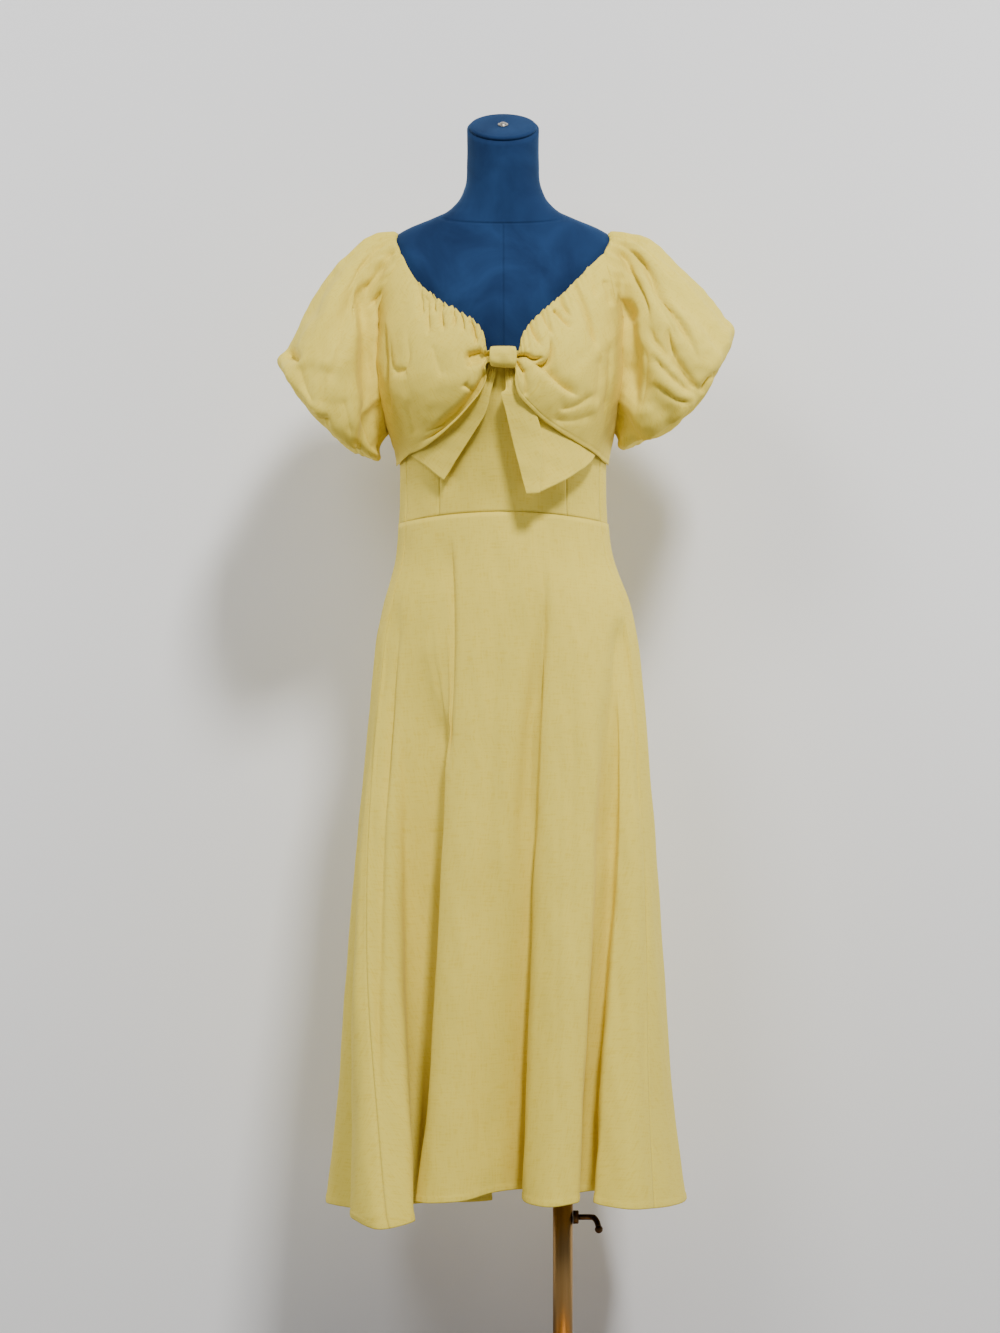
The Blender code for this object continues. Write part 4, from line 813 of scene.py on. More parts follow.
# %% Drapes
def drape_surface(side, u, v):
    """u runs from the knot to the side, v from the neck edge to the lower edge."""
    neck_rows = mirrored(DRAPE_NECK[side], side)
    lower_rows = mirrored(DRAPE_LOWER[side], side)
    side_rows = mirrored(DRAPE_SIDE[side], side)
    side_rows[0] = neck_rows[-1]
    side_rows[-1] = lower_rows[-1]
    neck, lower, outer = route_reader(neck_rows), route_reader(lower_rows), route_reader(side_rows)
    share_u, share_v = u[..., None], v[..., None]
    knot = neck(0.0) * (1 - share_v) + lower(0.0) * share_v
    corners = ((1 - share_u) * knot + share_u * ((1 - share_v) * neck(1.0) + share_v * lower(1.0)))
    chart = ((1 - share_v) * neck(u) + share_v * lower(u) + (1 - share_u) * knot + share_u * outer(v)
             - corners)
    turn, height, lift = np.moveaxis(chart, -1, 0)
    full = np.sin(np.pi * u ** DRAPE_SIDEWAYS[side]) * np.sin(np.pi * v) ** 0.8
    lift = lift + DRAPE_FULLNESS[side] * full
    surface = worn_point(turn, height, lift)
    neck_line = worn_point(*np.moveaxis(neck(u[:1]), -1, 0))
    from_neck = np.linalg.norm(surface - neck_line, axis=-1)
    neck_steps = np.linalg.norm(np.diff(neck_line, axis=1, prepend=neck_line[:, :1]), axis=-1)
    along_neck = np.cumsum(neck_steps, axis=1) + 0.0 * v
    from_knot = np.linalg.norm(surface[..., ::2] - surface[:, :1, ::2], axis=-1)
    rise, phase = DRAPE_GATHERS[side]
    drawn_up = gathers(along_neck, from_neck, NECK_SPACING, rise, 0.015, phase)
    drawn_up = drawn_up * smooth_step(u / 0.08) * smooth_step((0.86 - u) / 0.2)
    radiating = gathers(v * 0.05, from_knot, KNOT_SPACING, 0.0014, 0.012, phase=1.0)
    radiating = radiating * smooth_step(from_knot / 0.006) * smooth_step((1.0 - v) / 0.2)
    radiating = radiating * smooth_step(v / 0.1)
    lower_line = worn_point(*np.moveaxis(lower(u[:1]), -1, 0))
    from_lower = np.linalg.norm(surface - lower_line, axis=-1)
    sewn = smooth_step(from_knot / 0.04)
    left = side == "left"
    rolled = 0.0014 * np.exp(-(from_lower / 0.0045) ** 2) * sewn if left else 0.0
    stitched = 0.0 if left else 0.0006 * np.exp(-((from_lower - 0.0052) / 0.0009) ** 2) * sewn
    creased = crease_lift(surface, DRAPE_CREASES[side], softness=1.35)
    shaped = drawn_up + radiating + creased + rolled - stitched
    shaped = shaped + 0.0012 * swell(surface, 0.045, 41) * np.sin(np.pi * v)
    shaped = shaped + 0.0003 * swell(surface, 0.016, 43)
    lift = np.maximum(lift + shaped, np.minimum(np.maximum(LAY, 0.45 * lift), lift))
    height = height + drawn_up * np.exp(-from_neck / 0.005)
    return worn_point(turn, height, lift)


for side_name in ("left", "right"):
    u, v = np.meshgrid(np.linspace(0.0, 1.0, 201), np.linspace(0.0, 1.0, 151))
    cloth_piece(f"bust_drape_{side_name}_cloth", f"bust_drape_{side_name}", drape_surface(side_name, u, v),
                (0.27, 0.21), 0.040)

# %% [markdown]
# ## The tails and the knot band
# The two cut ends hang out under the knot. The right one is folded lengthwise, so its middle line
# stands forward. Straight lines joined row by row keep the cut edges crisp, and the fold is sharp
# because the middle places of each row are joined without smoothing.

# %% Tails
TAIL_LEFT = [
    [Place(-2.0, 1.2880, LAY), Place(-4.0, 1.2885, LAY), Place(-6.5, 1.2890, LAY)],
    [Place(-5.3, 1.2560, 0.0075), Place(-8.0, 1.2620, 0.0080), Place(-10.5, 1.2660, 0.0080)],
    [Place(-8.0, 1.2290, 0.0100), Place(-15.0, 1.2350, 0.0090), Place(-22.0, 1.2370, 0.0070)],
    [Place(-14.5, 1.2040, 0.0112), Place(-25.0, 1.2110, 0.0085), Place(-36.0, 1.2110, 0.0060)],
    [Place(-22.5, 1.1770, 0.0120), Place(-36.0, 1.1880, 0.0085), Place(-50.0, 1.1930, 0.0045)],
    [Place(-31.1, 1.1480, 0.0125), Place(-43.1, 1.1659, 0.0090), Place(-58.2, 1.1796, 0.0040)],
]
TAIL_RIGHT = [
    [Place(0.6, 1.2880, LAY), Place(3.0, 1.2885, LAY), Place(6.0, 1.2890, LAY)],
    [Place(1.2, 1.2570, 0.0120), Place(5.0, 1.2590, 0.0150), Place(9.0, 1.2600, 0.0110)],
    [Place(-0.9, 1.2492, 0.0160), Place(8.0, 1.2470, 0.0180), Place(14.0, 1.2440, 0.0110)],
    [Place(1.1, 1.2290, 0.0205), Place(14.0, 1.2300, 0.0215), Place(22.0, 1.2270, 0.0110)],
    [Place(3.9, 1.1960, 0.0285), Place(16.9, 1.2000, 0.0290), Place(33.0, 1.2080, 0.0095)],
    [Place(6.8, 1.1630, 0.0375), Place(16.0, 1.1660, 0.0380), Place(46.0, 1.1930, 0.0075)],
    [Place(9.5, 1.1298, 0.0460), Place(13.9, 1.1309, 0.0475), Place(57.5, 1.1802, 0.0055)],
]
FOLDED_UNDER = 0.0085      # how far the outer half lies behind a hard lengthwise fold


def tail_surface(rows_of_places, u, v, sharp):
    """v runs down the tail, u across it from the inner edge; sharp from 0, round, to 1, a hard fold."""
    rows = np.array(rows_of_places, float).reshape(len(rows_of_places), -1)
    cells = smooth_reader(np.linspace(0.0, 1.0, len(rows)), rows)(v).reshape(v.shape + (3, 3))
    inner, middle, outer = np.moveaxis(cells, -2, 0)
    across = u[..., None]
    straight = np.where(across < 0.5, inner + (middle - inner) * 2 * across,
                        middle + (outer - middle) * (2 * across - 1))
    away = np.clip(np.abs(across - 0.5) / 0.12, 0.0, 1.0)
    bend = (inner + outer) / 2 - middle
    straight = straight + (1.0 - sharp) * 0.12 * bend * (1.0 - away) ** 2
    turn, height, lift = np.moveaxis(straight, -1, 0)
    surface = worn_point(turn, height, lift)
    pulled = gathers(u * 0.03, v * 0.12, 0.0065, 0.0009, 0.020, phase=0.8) * smooth_step(v / 0.08)
    behind_fold = smooth_step((u - 0.5) / 0.02) * (1.0 - smooth_step((u - 0.52) / 0.40))
    pulled -= sharp * FOLDED_UNDER * behind_fold * smooth_step((v - 0.30) / 0.20)
    lift = np.maximum(lift + pulled + 0.0006 * swell(surface, 0.03, 47) * v, 0.0018)
    return worn_point(turn, height, lift)


for side_name, rows, sharp, area in (("left", TAIL_LEFT, 0.0, 0.0066), ("right", TAIL_RIGHT, 0.85, 0.0112)):
    u, v = np.meshgrid(np.linspace(0.0, 1.0, 61), np.linspace(0.0, 1.0, 81))
    cloth_piece(f"bow_tail_{side_name}_cloth", f"bow_tail_{side_name}", tail_surface(rows, u, v, sharp),
                (0.10, 0.17), area)

# %% [markdown]
# ### Knot band
# The band is a strip sewn into a loop round the gathered middle. It lies flat over the front, turns in
# tightly above and below, hangs a little lower on the right and has two slight pull lines across it.

# %% Knot band
BAND_WIDTH = 0.032
BAND_DEPTH = 0.0276
BAND_TOP_Z = 1.3050
BAND_BOTTOM_Z = 1.2825
BAND_Y = -0.1497

angle, across = np.meshgrid(np.linspace(0.0, 2.0 * np.pi, 129), np.linspace(-1.0, 1.0, 41))
ahead = np.sign(np.cos(angle)) * np.abs(np.cos(angle)) ** 0.60
upward = np.sign(np.sin(angle)) * np.abs(np.sin(angle)) ** 0.80
bulge = 0.0006 * (1.0 - across ** 2) - 0.0008 * np.abs(across) ** 8
pull = 0.0007 * np.sin(across * 5.0 + 1.4) * np.sin(3.0 * upward + 0.8)
waist_in = 1.0 - 0.10 * np.abs(upward) ** 3
band_middle = (BAND_TOP_Z + BAND_BOTTOM_Z) / 2
band_half_height = (BAND_TOP_Z - BAND_BOTTOM_Z) / 2
droop = -0.0012 * (across + 1.0) * (upward < 0.0) * np.abs(upward)
band = np.stack([TORSO_X + across * BAND_WIDTH / 2 * waist_in,
                 BAND_Y - (BAND_DEPTH / 2 + (bulge + pull) * (ahead > 0.0)) * ahead,
                 band_middle + (band_half_height + bulge * 0.6) * upward + droop], axis=-1)
cloth_piece("bow_band_cloth", "bow_band", band, (0.034, 0.092), None,
            closed=True)

# %% [markdown]
# ## The puff sleeves
# A puff sleeve is a wide tube drawn in at the armhole and at the cuff, so it balloons between them
# and turns under. It is built from rings between the shoulder and the cuff. Lengthwise folds and
# creases follow the way the cloth hangs from the shoulder.

# %% Sleeve tables
Armhole = namedtuple("Armhole", "station turn height lift")
ARMHOLE_TOP = [
    Armhole(0, -91.0, 1.4530, 0.0000),
    Armhole(25, -70.0, 1.4460, 0.0012),
]
ARMHOLE_FRONT = {
    "left": [Armhole(45, -53.0, 1.4240, 0.0052), Armhole(70, -65.0, 1.3740, 0.0070),
             Armhole(100, -83.0, 1.3230, 0.0150), Armhole(130, -87.0, 1.2620, 0.0175),
             Armhole(160, -90.0, 1.2210, 0.0130)],
    "right": [Armhole(45, -52.0, 1.4240, 0.0052), Armhole(70, -58.0, 1.3740, 0.0076),
              Armhole(100, -74.0, 1.3230, 0.0110), Armhole(130, -82.0, 1.2620, 0.0120),
              Armhole(160, -87.5, 1.2210, 0.0100)],
}
ARMHOLE_BACK = [
    Armhole(180, -94.0, 1.2130, 0.0048),
    Armhole(200, -102.0, 1.2220, 0.0030),
    Armhole(230, -112.0, 1.2620, 0.0024),
    Armhole(260, -120.0, 1.3250, LAY),
    Armhole(290, -126.5, 1.3800, LAY),
    Armhole(315, -130.0, 1.4180, LAY),
    Armhole(337, -112.0, 1.4450, 0.0012),
    Armhole(360, -91.0, 1.4530, 0.0000),
]
PuffRing = namedtuple("PuffRing", "outer_x outer_z inner_x inner_z front back sag")
PUFF = {
    "left": [
        PuffRing(-0.1620, 1.4490, -0.1420, 1.2050, 0.055, 0.090, 0.000),
        PuffRing(-0.1870, 1.4290, -0.1470, 1.1980, 0.076, 0.099, 0.000),
        PuffRing(-0.2160, 1.3970, -0.1500, 1.1910, 0.102, 0.107, 0.004),
        PuffRing(-0.2400, 1.3560, -0.1500, 1.1850, 0.112, 0.110, 0.008),
        PuffRing(-0.2610, 1.3140, -0.1490, 1.1800, 0.109, 0.107, 0.012),
        PuffRing(-0.2735, 1.2960, -0.1500, 1.1775, 0.101, 0.099, 0.015),
        PuffRing(-0.2580, 1.2730, -0.1530, 1.1765, 0.086, 0.086, 0.015),
        PuffRing(-0.2470, 1.2640, -0.1600, 1.1800, 0.069, 0.069, 0.009),
        PuffRing(-0.2310, 1.2660, -0.1640, 1.1930, 0.054, 0.054, 0.004),
    ],
    "right": [
        PuffRing(0.1510, 1.4535, 0.1350, 1.2100, 0.054, 0.090, 0.000),
        PuffRing(0.1800, 1.4450, 0.1380, 1.2040, 0.080, 0.099, 0.000),
        PuffRing(0.2150, 1.4130, 0.1400, 1.1985, 0.103, 0.107, 0.005),
        PuffRing(0.2470, 1.3790, 0.1390, 1.1945, 0.112, 0.110, 0.008),
        PuffRing(0.2695, 1.3500, 0.1390, 1.1915, 0.109, 0.107, 0.015),
        PuffRing(0.2810, 1.3350, 0.1410, 1.1900, 0.102, 0.100, 0.022),
        PuffRing(0.2720, 1.3060, 0.1450, 1.1900, 0.088, 0.088, 0.023),
        PuffRing(0.2560, 1.3000, 0.1530, 1.1960, 0.070, 0.070, 0.012),
        PuffRing(0.2380, 1.2960, 0.1580, 1.2080, 0.054, 0.054, 0.004),
    ],
}
PuffFold = namedtuple("PuffFold", "station half_width depth")
PUFF_FOLDS = {
    "left": [PuffFold(20, 16, 0.004), PuffFold(62, 16, 0.007), PuffFold(100, 18, 0.005),
             PuffFold(138, 16, 0.012), PuffFold(176, 15, 0.006), PuffFold(222, 20, 0.006),
             PuffFold(262, 18, 0.006), PuffFold(302, 18, 0.007), PuffFold(338, 15, 0.004)],
    "right": [PuffFold(14, 15, 0.004), PuffFold(44, 14, 0.008), PuffFold(80, 16, 0.005),
              PuffFold(112, 14, 0.008), PuffFold(146, 16, 0.011), PuffFold(182, 15, 0.006),
              PuffFold(228, 20, 0.006), PuffFold(270, 18, 0.007), PuffFold(312, 18, 0.006)],
}
SLEEVE_CREASES = {
    "left": [
        Crease(0.0034, 0.0070, 0.25, [
            (-0.128, 1.438), (-0.135, 1.4302), (-0.1459, 1.4179), (-0.1555, 1.4002), (-0.1623, 1.3851),
            (-0.168, 1.364)]),
        Crease(0.0030, 0.0050, 0.20, [(-0.13, 1.43), (-0.1377, 1.4206), (-0.1473, 1.407), (-0.157, 1.386)]),
        Crease(0.0040, 0.0100, 0.30, [
            (-0.132, 1.388), (-0.1404, 1.383), (-0.1486, 1.3769), (-0.1568, 1.3701), (-0.166, 1.358)]),
        Crease(0.0110, 0.0060, 0.00, [
            (-0.170, 1.405), (-0.1773, 1.3851), (-0.1869, 1.3551), (-0.1964, 1.3278), (-0.2005, 1.295),
            (-0.2046, 1.2732), (-0.208, 1.245)]),
        Crease(0.0060, 0.0034, 0.10, [
            (-0.156, 1.408), (-0.170, 1.376), (-0.1814, 1.3414), (-0.1882, 1.3169), (-0.1923, 1.2896)]),
        Crease(0.0034, 0.0045, 0.20, [(-0.138, 1.447), (-0.156, 1.432), (-0.174, 1.408), (-0.190, 1.376)]),
        Crease(0.0042, 0.0100, 0.00, [(-0.266, 1.309), (-0.255, 1.301), (-0.247, 1.290)]),
        Crease(0.0040, 0.0060, 0.00, [(-0.229, 1.215), (-0.217, 1.218), (-0.207, 1.219)]),
        Crease(0.0055, 0.0050, 0.20, [(-0.168, 1.250), (-0.167, 1.2186), (-0.160, 1.1967), (-0.152, 1.180)]),
        Crease(0.0130, 0.0060, 0.00, [(-0.212, 1.290), (-0.2169, 1.260), (-0.2196, 1.2267)]),
        Crease(0.0080, 0.0040, 0.20, [(-0.248, 1.292), (-0.240, 1.262), (-0.230, 1.235)]),
        Crease(0.0090, 0.0036, 0.00, [(-0.192, 1.250), (-0.186, 1.225), (-0.180, 1.195)]),
        Crease(0.0100, 0.0030, 0.00, [(-0.200, 1.415), (-0.220, 1.380), (-0.238, 1.335)]),
    ],
    "right": [
        Crease(0.0036, 0.0075, -0.20, [
            (0.122, 1.446), (0.1416, 1.4316), (0.1504, 1.4179), (0.1558, 1.4015), (0.164, 1.3797),
            (0.1717, 1.3578), (0.1765, 1.330)]),
        Crease(0.0050, 0.0095, -0.35, [
            (0.133, 1.447), (0.1567, 1.4288), (0.1717, 1.4125), (0.1867, 1.3892), (0.2017, 1.3647),
            (0.2154, 1.3414), (0.2263, 1.3169), (0.238, 1.285)]),
        Crease(0.0130, 0.0060, 0.00, [(0.170, 1.395), (0.184, 1.370), (0.199, 1.340), (0.212, 1.310)]),
        Crease(0.0034, 0.0065, 0.10, [(0.174, 1.336), (0.180, 1.318), (0.1908, 1.306), (0.204, 1.294)]),
        Crease(0.0042, 0.0095, -0.25, [
            (0.194, 1.340), (0.199, 1.318), (0.207, 1.298), (0.216, 1.284), (0.229, 1.265), (0.245, 1.248)]),
        Crease(0.0045, 0.0070, -0.15, [(0.174, 1.300), (0.1935, 1.2814), (0.2127, 1.265), (0.242, 1.245)]),
        Crease(0.0042, 0.0055, 0.00, [(0.175, 1.266), (0.1963, 1.2486), (0.2127, 1.2404), (0.230, 1.240)]),
        Crease(0.0050, 0.0045, 0.00, [(0.134, 1.376), (0.150, 1.358), (0.160, 1.338)]),
        Crease(0.0040, 0.0075, 0.00, [(0.270, 1.283), (0.250, 1.270), (0.238, 1.250)]),
        Crease(0.0100, 0.0030, 0.00, [(0.1744, 1.4343), (0.2017, 1.4097), (0.2345, 1.3687), (0.260, 1.340)]),
        Crease(0.0070, 0.0040, 0.00, [(0.164, 1.320), (0.169, 1.290), (0.168, 1.255), (0.162, 1.226)]),
        Crease(0.0036, 0.0040, 0.20, [(0.142, 1.453), (0.166, 1.440), (0.192, 1.413), (0.212, 1.385)]),
    ],
}
# Beside the bust the puff lies over its own inner side, which stands this far back.
SLEEVE_GROOVES = {
    "left": [Crease(0.0080, 0.0240, 0.50, [(-0.1700, 1.3950), (-0.1715, 1.3551), (-0.1715, 1.3169),
                                           (-0.1715, 1.2814), (-0.1690, 1.2500), (-0.1650, 1.2200)])],
    "right": [Crease(0.0080, 0.0220, -0.50, [(0.1500, 1.3750), (0.1575, 1.3480), (0.1600, 1.3150),
                                             (0.1620, 1.2814), (0.1615, 1.2568), (0.1590, 1.2280)])],
}
BACK_SLEEVE_CREASES = {
    "left": [
        Crease(0.0080, 0.0040, 0.20, [(-0.150, 1.430), (-0.180, 1.380), (-0.198, 1.320)]),
        Crease(0.0100, 0.0050, -0.20, [(-0.160, 1.360), (-0.172, 1.300), (-0.176, 1.235)]),
        Crease(0.0080, 0.0040, 0.20, [(-0.210, 1.380), (-0.222, 1.320), (-0.222, 1.260)]),
    ],
    "right": [
        Crease(0.0080, 0.0040, -0.20, [(0.148, 1.436), (0.180, 1.390), (0.200, 1.330)]),
        Crease(0.0100, 0.0050, 0.20, [(0.156, 1.360), (0.168, 1.300), (0.172, 1.245)]),
        Crease(0.0080, 0.0040, -0.20, [(0.214, 1.390), (0.230, 1.330), (0.232, 1.270)]),
    ],
}
ARMHOLE_GATHERS = 40       # folds once round
ARMHOLE_RISE = 0.0030      # how far they stand up
CUFF_GATHERS = 34
CUFF_RISE = 0.0018
ARMHOLE_DIP = 0.0022       # how far the front of the puff dips where it is sewn on


# %% Sleeves
def puff_surface(side, station, share):
    """station in degrees round the sleeve from the shoulder by the front, share from armhole to cuff."""
    sign = -1.0 if side == "left" else 1.0
    stations = station[0]
    armhole = ARMHOLE_TOP + ARMHOLE_FRONT[side] + ARMHOLE_BACK
    hole = smooth_reader([p.station for p in armhole], [p[1:] for p in armhole], wrap=(23.0, 25.0))(stations)
    angle = np.radians(stations)
    lines = [worn_point(hole[:, 0] * -sign, hole[:, 1], hole[:, 2])]
    middles = []
    for ring in PUFF[side]:
        depth = np.where(stations < 180, ring.front, ring.back)
        outer = np.array([ring.outer_x, 0.0, ring.outer_z])
        inner = np.array([ring.inner_x, 0.0, ring.inner_z])
        middle = (outer + inner) / 2 + (TORSO_X, 0.0, 0.0)
        half = (outer - inner) / 2
        hang = np.outer(ring.sag * np.sin(angle) ** 2, (0.7 * sign, 0.0, -0.71))
        line = middle + np.outer(np.cos(angle), half) + hang
        line[:, 1] -= depth * np.sin(angle)
        lines.append(line)
        middles.append(middle)
    stack = np.array(lines)
    count = len(stack)
    rings = smooth_reader(np.linspace(0.0, 1.0, count), stack.reshape(count, -1))
    surface = rings(share[:, 0]).reshape(share.shape + (3,))
    inside = smooth_reader(np.linspace(0.05, 1.0, len(middles)), np.array(middles))(share)
    depth = np.zeros(stations.shape)
    for fold in PUFF_FOLDS[side]:
        away = np.abs((stations - fold.station + 180.0) % 360.0 - 180.0) / fold.half_width
        depth += np.where(away < 1.0, fold.depth * np.cos(away * np.pi / 2) ** 2, 0.0)
    depth = depth * np.sin(np.pi * np.minimum(1.0, share * 1.02)) ** 0.8
    towards = inside - surface
    towards /= np.linalg.norm(towards, axis=-1, keepdims=True)
    return surface + towards * depth[..., None]


def puff_sleeve(side, columns, rows, seed):
    """A puff with its gathers at both ends, its creases and the groove beside the bust."""
    stations = np.linspace(0.0, 360.0, columns + 1)
    station, share = np.meshgrid(stations, np.linspace(0.0, 1.0, rows + 1))
    surface = puff_surface(side, station, share)
    steps = np.linalg.norm(np.diff(surface, axis=0), axis=-1)
    from_armhole = np.concatenate([np.zeros((1, columns + 1)), np.cumsum(steps, axis=0)], axis=0)
    from_cuff = from_armhole[-1:] - from_armhole
    rounds = station / 360.0
    near_shoulder = 0.25 + 0.75 * smooth_step((np.abs(station - 180.0) - 110.0) / 40.0)
    lift = gathers(rounds * ARMHOLE_GATHERS, from_armhole, 1.0, ARMHOLE_RISE, 0.030)
    lift *= smooth_step(from_armhole / 0.004)
    lift *= near_shoulder
    at_cuff = gathers(rounds * CUFF_GATHERS, from_cuff, 1.0, CUFF_RISE, 0.018, phase=2.0)
    lift += at_cuff * smooth_step(from_cuff / 0.003)
    lift *= smooth_step(np.minimum(rounds, 1.0 - rounds) / 0.02)
    front = smooth_step((-surface[..., 1] - 0.005) / 0.02)
    free = smooth_step(from_armhole / 0.015)
    surface[..., 1] -= crease_lift(surface, SLEEVE_GROOVES[side], softness=2.0, deepen=1.0) * front
    lift += crease_lift(surface, SLEEVE_CREASES[side], softness=1.1, deepen=1.25) * front * free
    lift += crease_lift(surface, BACK_SLEEVE_CREASES[side], softness=1.1, deepen=1.25) * (1.0 - front) * free
    even = smooth_step(from_armhole / 0.03) * smooth_step(from_cuff / 0.02)
    lift += even * (0.0012 * swell(surface, 0.07, seed) + 0.0004 * swell(surface, 0.02, seed + 1))
    sewn_on = smooth_step((120.0 - np.abs(station - 90.0)) / 30.0)
    lift -= ARMHOLE_DIP * sewn_on * np.exp(-from_armhole / 0.0025)
    surface = pushed(surface, lift, closed=True)
    cloth_piece(f"sleeve_{side}_cloth", f"sleeve_{side}", surface, (0.62, 0.33), 0.145,
                closed=True)


puff_sleeve("left", 240, 124, 51)
puff_sleeve("right", 240, 124, 57)

# %% [markdown]
# ## The dress form
# The form is covered in velvet cut in two halves, so a seam runs down the middle of the chest and
# another rings the foot of the neck. Both are shallow grooves. The neck is cut off at a slant and
# closed with a padded disc under a bolt.

# %% Velvet body
GROOVE_WIDTH = 0.0013
CENTRE_GROOVE = 0.0013
NECK_GROOVE = 0.0016
NECK_SEAM_Z = 1.461        # at the front; it rises twice NECK_SEAM_RISE to the back
NECK_SEAM_RISE = 0.019
FOOT_ROUND = 0.004         # the lower edge is rounded, up to FOOT_ROUND_Z
FOOT_ROUND_Z = 0.784

near_seam = np.linspace(0.0, 3.0, 19)
turn, height = np.meshgrid(
    np.concatenate([near_seam, np.linspace(5.0, 355.0, 161), 360.0 - near_seam[::-1]]),
    np.concatenate([[0.7800, 0.7810, 0.7825], np.linspace(0.785, 1.440, 46), np.linspace(1.441, 1.512, 100),
                    np.linspace(1.516, 1.580, 14)]))
half_width, front, back = np.moveaxis(form_rings(height), -1, 0)[:3]
angle = np.radians(turn)
off_centre = half_width * np.sin(angle) / GROOVE_WIDTH
centre_groove = CENTRE_GROOVE * np.exp(-off_centre ** 2) * (np.cos(angle) > 0)
neck_seam_height = NECK_SEAM_Z + NECK_SEAM_RISE * (1.0 - np.cos(angle))
neck_groove = NECK_GROOVE * np.exp(-((height - neck_seam_height) / GROOVE_WIDTH) ** 2)
groove = centre_groove * smooth_step((neck_seam_height - height) / 0.002) + neck_groove
down_round = np.clip((FOOT_ROUND_Z - height) / FOOT_ROUND, 0.0, 1.0)
rounding = FOOT_ROUND * (1.0 - np.sqrt(np.clip(1.0 - down_round ** 2, 0.0, 1.0)))
body = ring_point(half_width - groove - rounding, front - groove - rounding, back - groove - rounding,
                  turn, height)
slant = np.clip((height - NECK_TILT_START) / (FORM[-1].height - NECK_TILT_START), 0.0, None)
body[..., 2] += body[..., 1] * math.tan(NECK_TILT) * slant
bm, mesh = grid_mesh("form_torso_velvet", body, closed=True)
bmesh.ops.holes_fill(bm, edges=[e for e in bm.edges if e.is_boundary])
bmesh.ops.recalc_face_normals(bm, faces=bm.faces)
add_piece(bm, mesh, blue_velvet, "dressed_form", "blue_velvet", "form_torso")

# %% [markdown]
# ### Turned and bent pieces
# Round pieces are a profile spun about the Z axis. The neck cap and its bolt are spun at the origin
# and then moved onto the slanted neck, with the move kept in the mesh.


# %% Turned pieces
def turned_piece(name, node, profile, steps, material, body, slot, place=None):
    """A piece made of a profile of (radius, height) spun once round; place moves the finished mesh."""
    bm = bmesh.new()
    verts = [bm.verts.new((radius, 0.0, height)) for radius, height in profile]
    edges = [bm.edges.new(pair) for pair in zip(verts, verts[1:])]
    bmesh.ops.spin(bm, geom=verts + edges, cent=(0, 0, 0), axis=(0, 0, 1), angle=2 * math.pi, steps=steps,
                   use_merge=True)
    bmesh.ops.remove_doubles(bm, verts=bm.verts, dist=1e-6)
    bmesh.ops.recalc_face_normals(bm, faces=bm.faces)
    if place is not None:
        bmesh.ops.transform(bm, matrix=place, verts=bm.verts)
    add_piece(bm, bpy.data.meshes.new(name), material, body, slot, node)


def arc(centre, radius, first, last, steps):
    """Points of an arc in a profile, at angles in degrees."""
    angles = np.radians(np.linspace(first, last, steps))
    return [(centre[0] + radius * math.cos(a), centre[1] + radius * math.sin(a)) for a in angles]


CAP_RADIUS = 0.0410
CAP_HEIGHT = 0.0060
CAP_ROUND = 0.0026
BOLT_RADIUS = 0.0055
slanted = (Matrix.Translation((TORSO_X, 0.0, FORM[-1].height)) @ Matrix.Rotation(NECK_TILT, 4, "X")
           @ Matrix.Translation((0.0, 0.0, SEAM)))
cap_profile = ([(0.0, 0.0), (CAP_RADIUS - 0.001, 0.0)]
               + arc((CAP_RADIUS - CAP_ROUND, CAP_ROUND), CAP_ROUND, -60, 90, 9)
               + [(CAP_RADIUS * 0.5, CAP_HEIGHT - 0.0002), (CAP_RADIUS * 0.2, CAP_HEIGHT - 0.0008),
                  (0.0, CAP_HEIGHT - 0.0010)])
turned_piece("neck_cap_velvet", "neck_cap", cap_profile, 72, blue_velvet, "dressed_form", "blue_velvet",
             slanted)
bolt_foot = BOLT_RADIUS + 0.0008
bolt_profile = ([(0.0, 0.0), (bolt_foot, 0.0), (bolt_foot, 0.0009), (BOLT_RADIUS - 0.0004, 0.0011)]
                + arc((0.0, -0.0032), 0.0068, 52, 88, 6) + [(0.0, 0.0036)])
on_cap = slanted @ Matrix.Translation((0.0, 0.0, CAP_HEIGHT - 0.0004))
turned_piece("neck_bolt_steel", "neck_bolt", bolt_profile, 32, metal_of["steel"], "dressed_form",
             "bolt_steel", on_cap)

# %% [markdown]
# ## The stand
# An inner tube slides and turns in an outer tube, and a bent clamp screw in a welded boss holds it.
# A heavy round plate keeps the whole upright. Rounded edges are what make metal catch light.

# %% Tubes and base
POLE_RADIUS = 0.01225
POLE_WALL = 0.0015
INNER_RADIUS = 0.0103
INNER_BOTTOM_Z = 0.0900
TUBE_TOP_Z = 0.2850
BASE_RADIUS = 0.170
BASE_HEIGHT = 0.012
BASE_ROUND = 0.003
EDGE = 0.0004              # bevel of the tubes

inner_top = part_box("inner_tube")[1].z
inner_profile = [(0.0, inner_top), (INNER_RADIUS - EDGE, inner_top), (INNER_RADIUS, inner_top - EDGE),
                 (INNER_RADIUS, INNER_BOTTOM_Z + EDGE), (INNER_RADIUS - EDGE, INNER_BOTTOM_Z),
                 (0.0, INNER_BOTTOM_Z)]
brass = metal_of["brass"]
turned_piece("inner_tube_brass", "inner_tube", inner_profile, 64, brass, "tube", "polished_brass")
bore = POLE_RADIUS - POLE_WALL
tube_bottom = BASE_HEIGHT + SEAM
tube_profile = [(bore, tube_bottom), (POLE_RADIUS, tube_bottom), (POLE_RADIUS, TUBE_TOP_Z - EDGE),
                (POLE_RADIUS - EDGE, TUBE_TOP_Z), (bore + EDGE, TUBE_TOP_Z), (bore, TUBE_TOP_Z - EDGE),
                (bore, tube_bottom)]
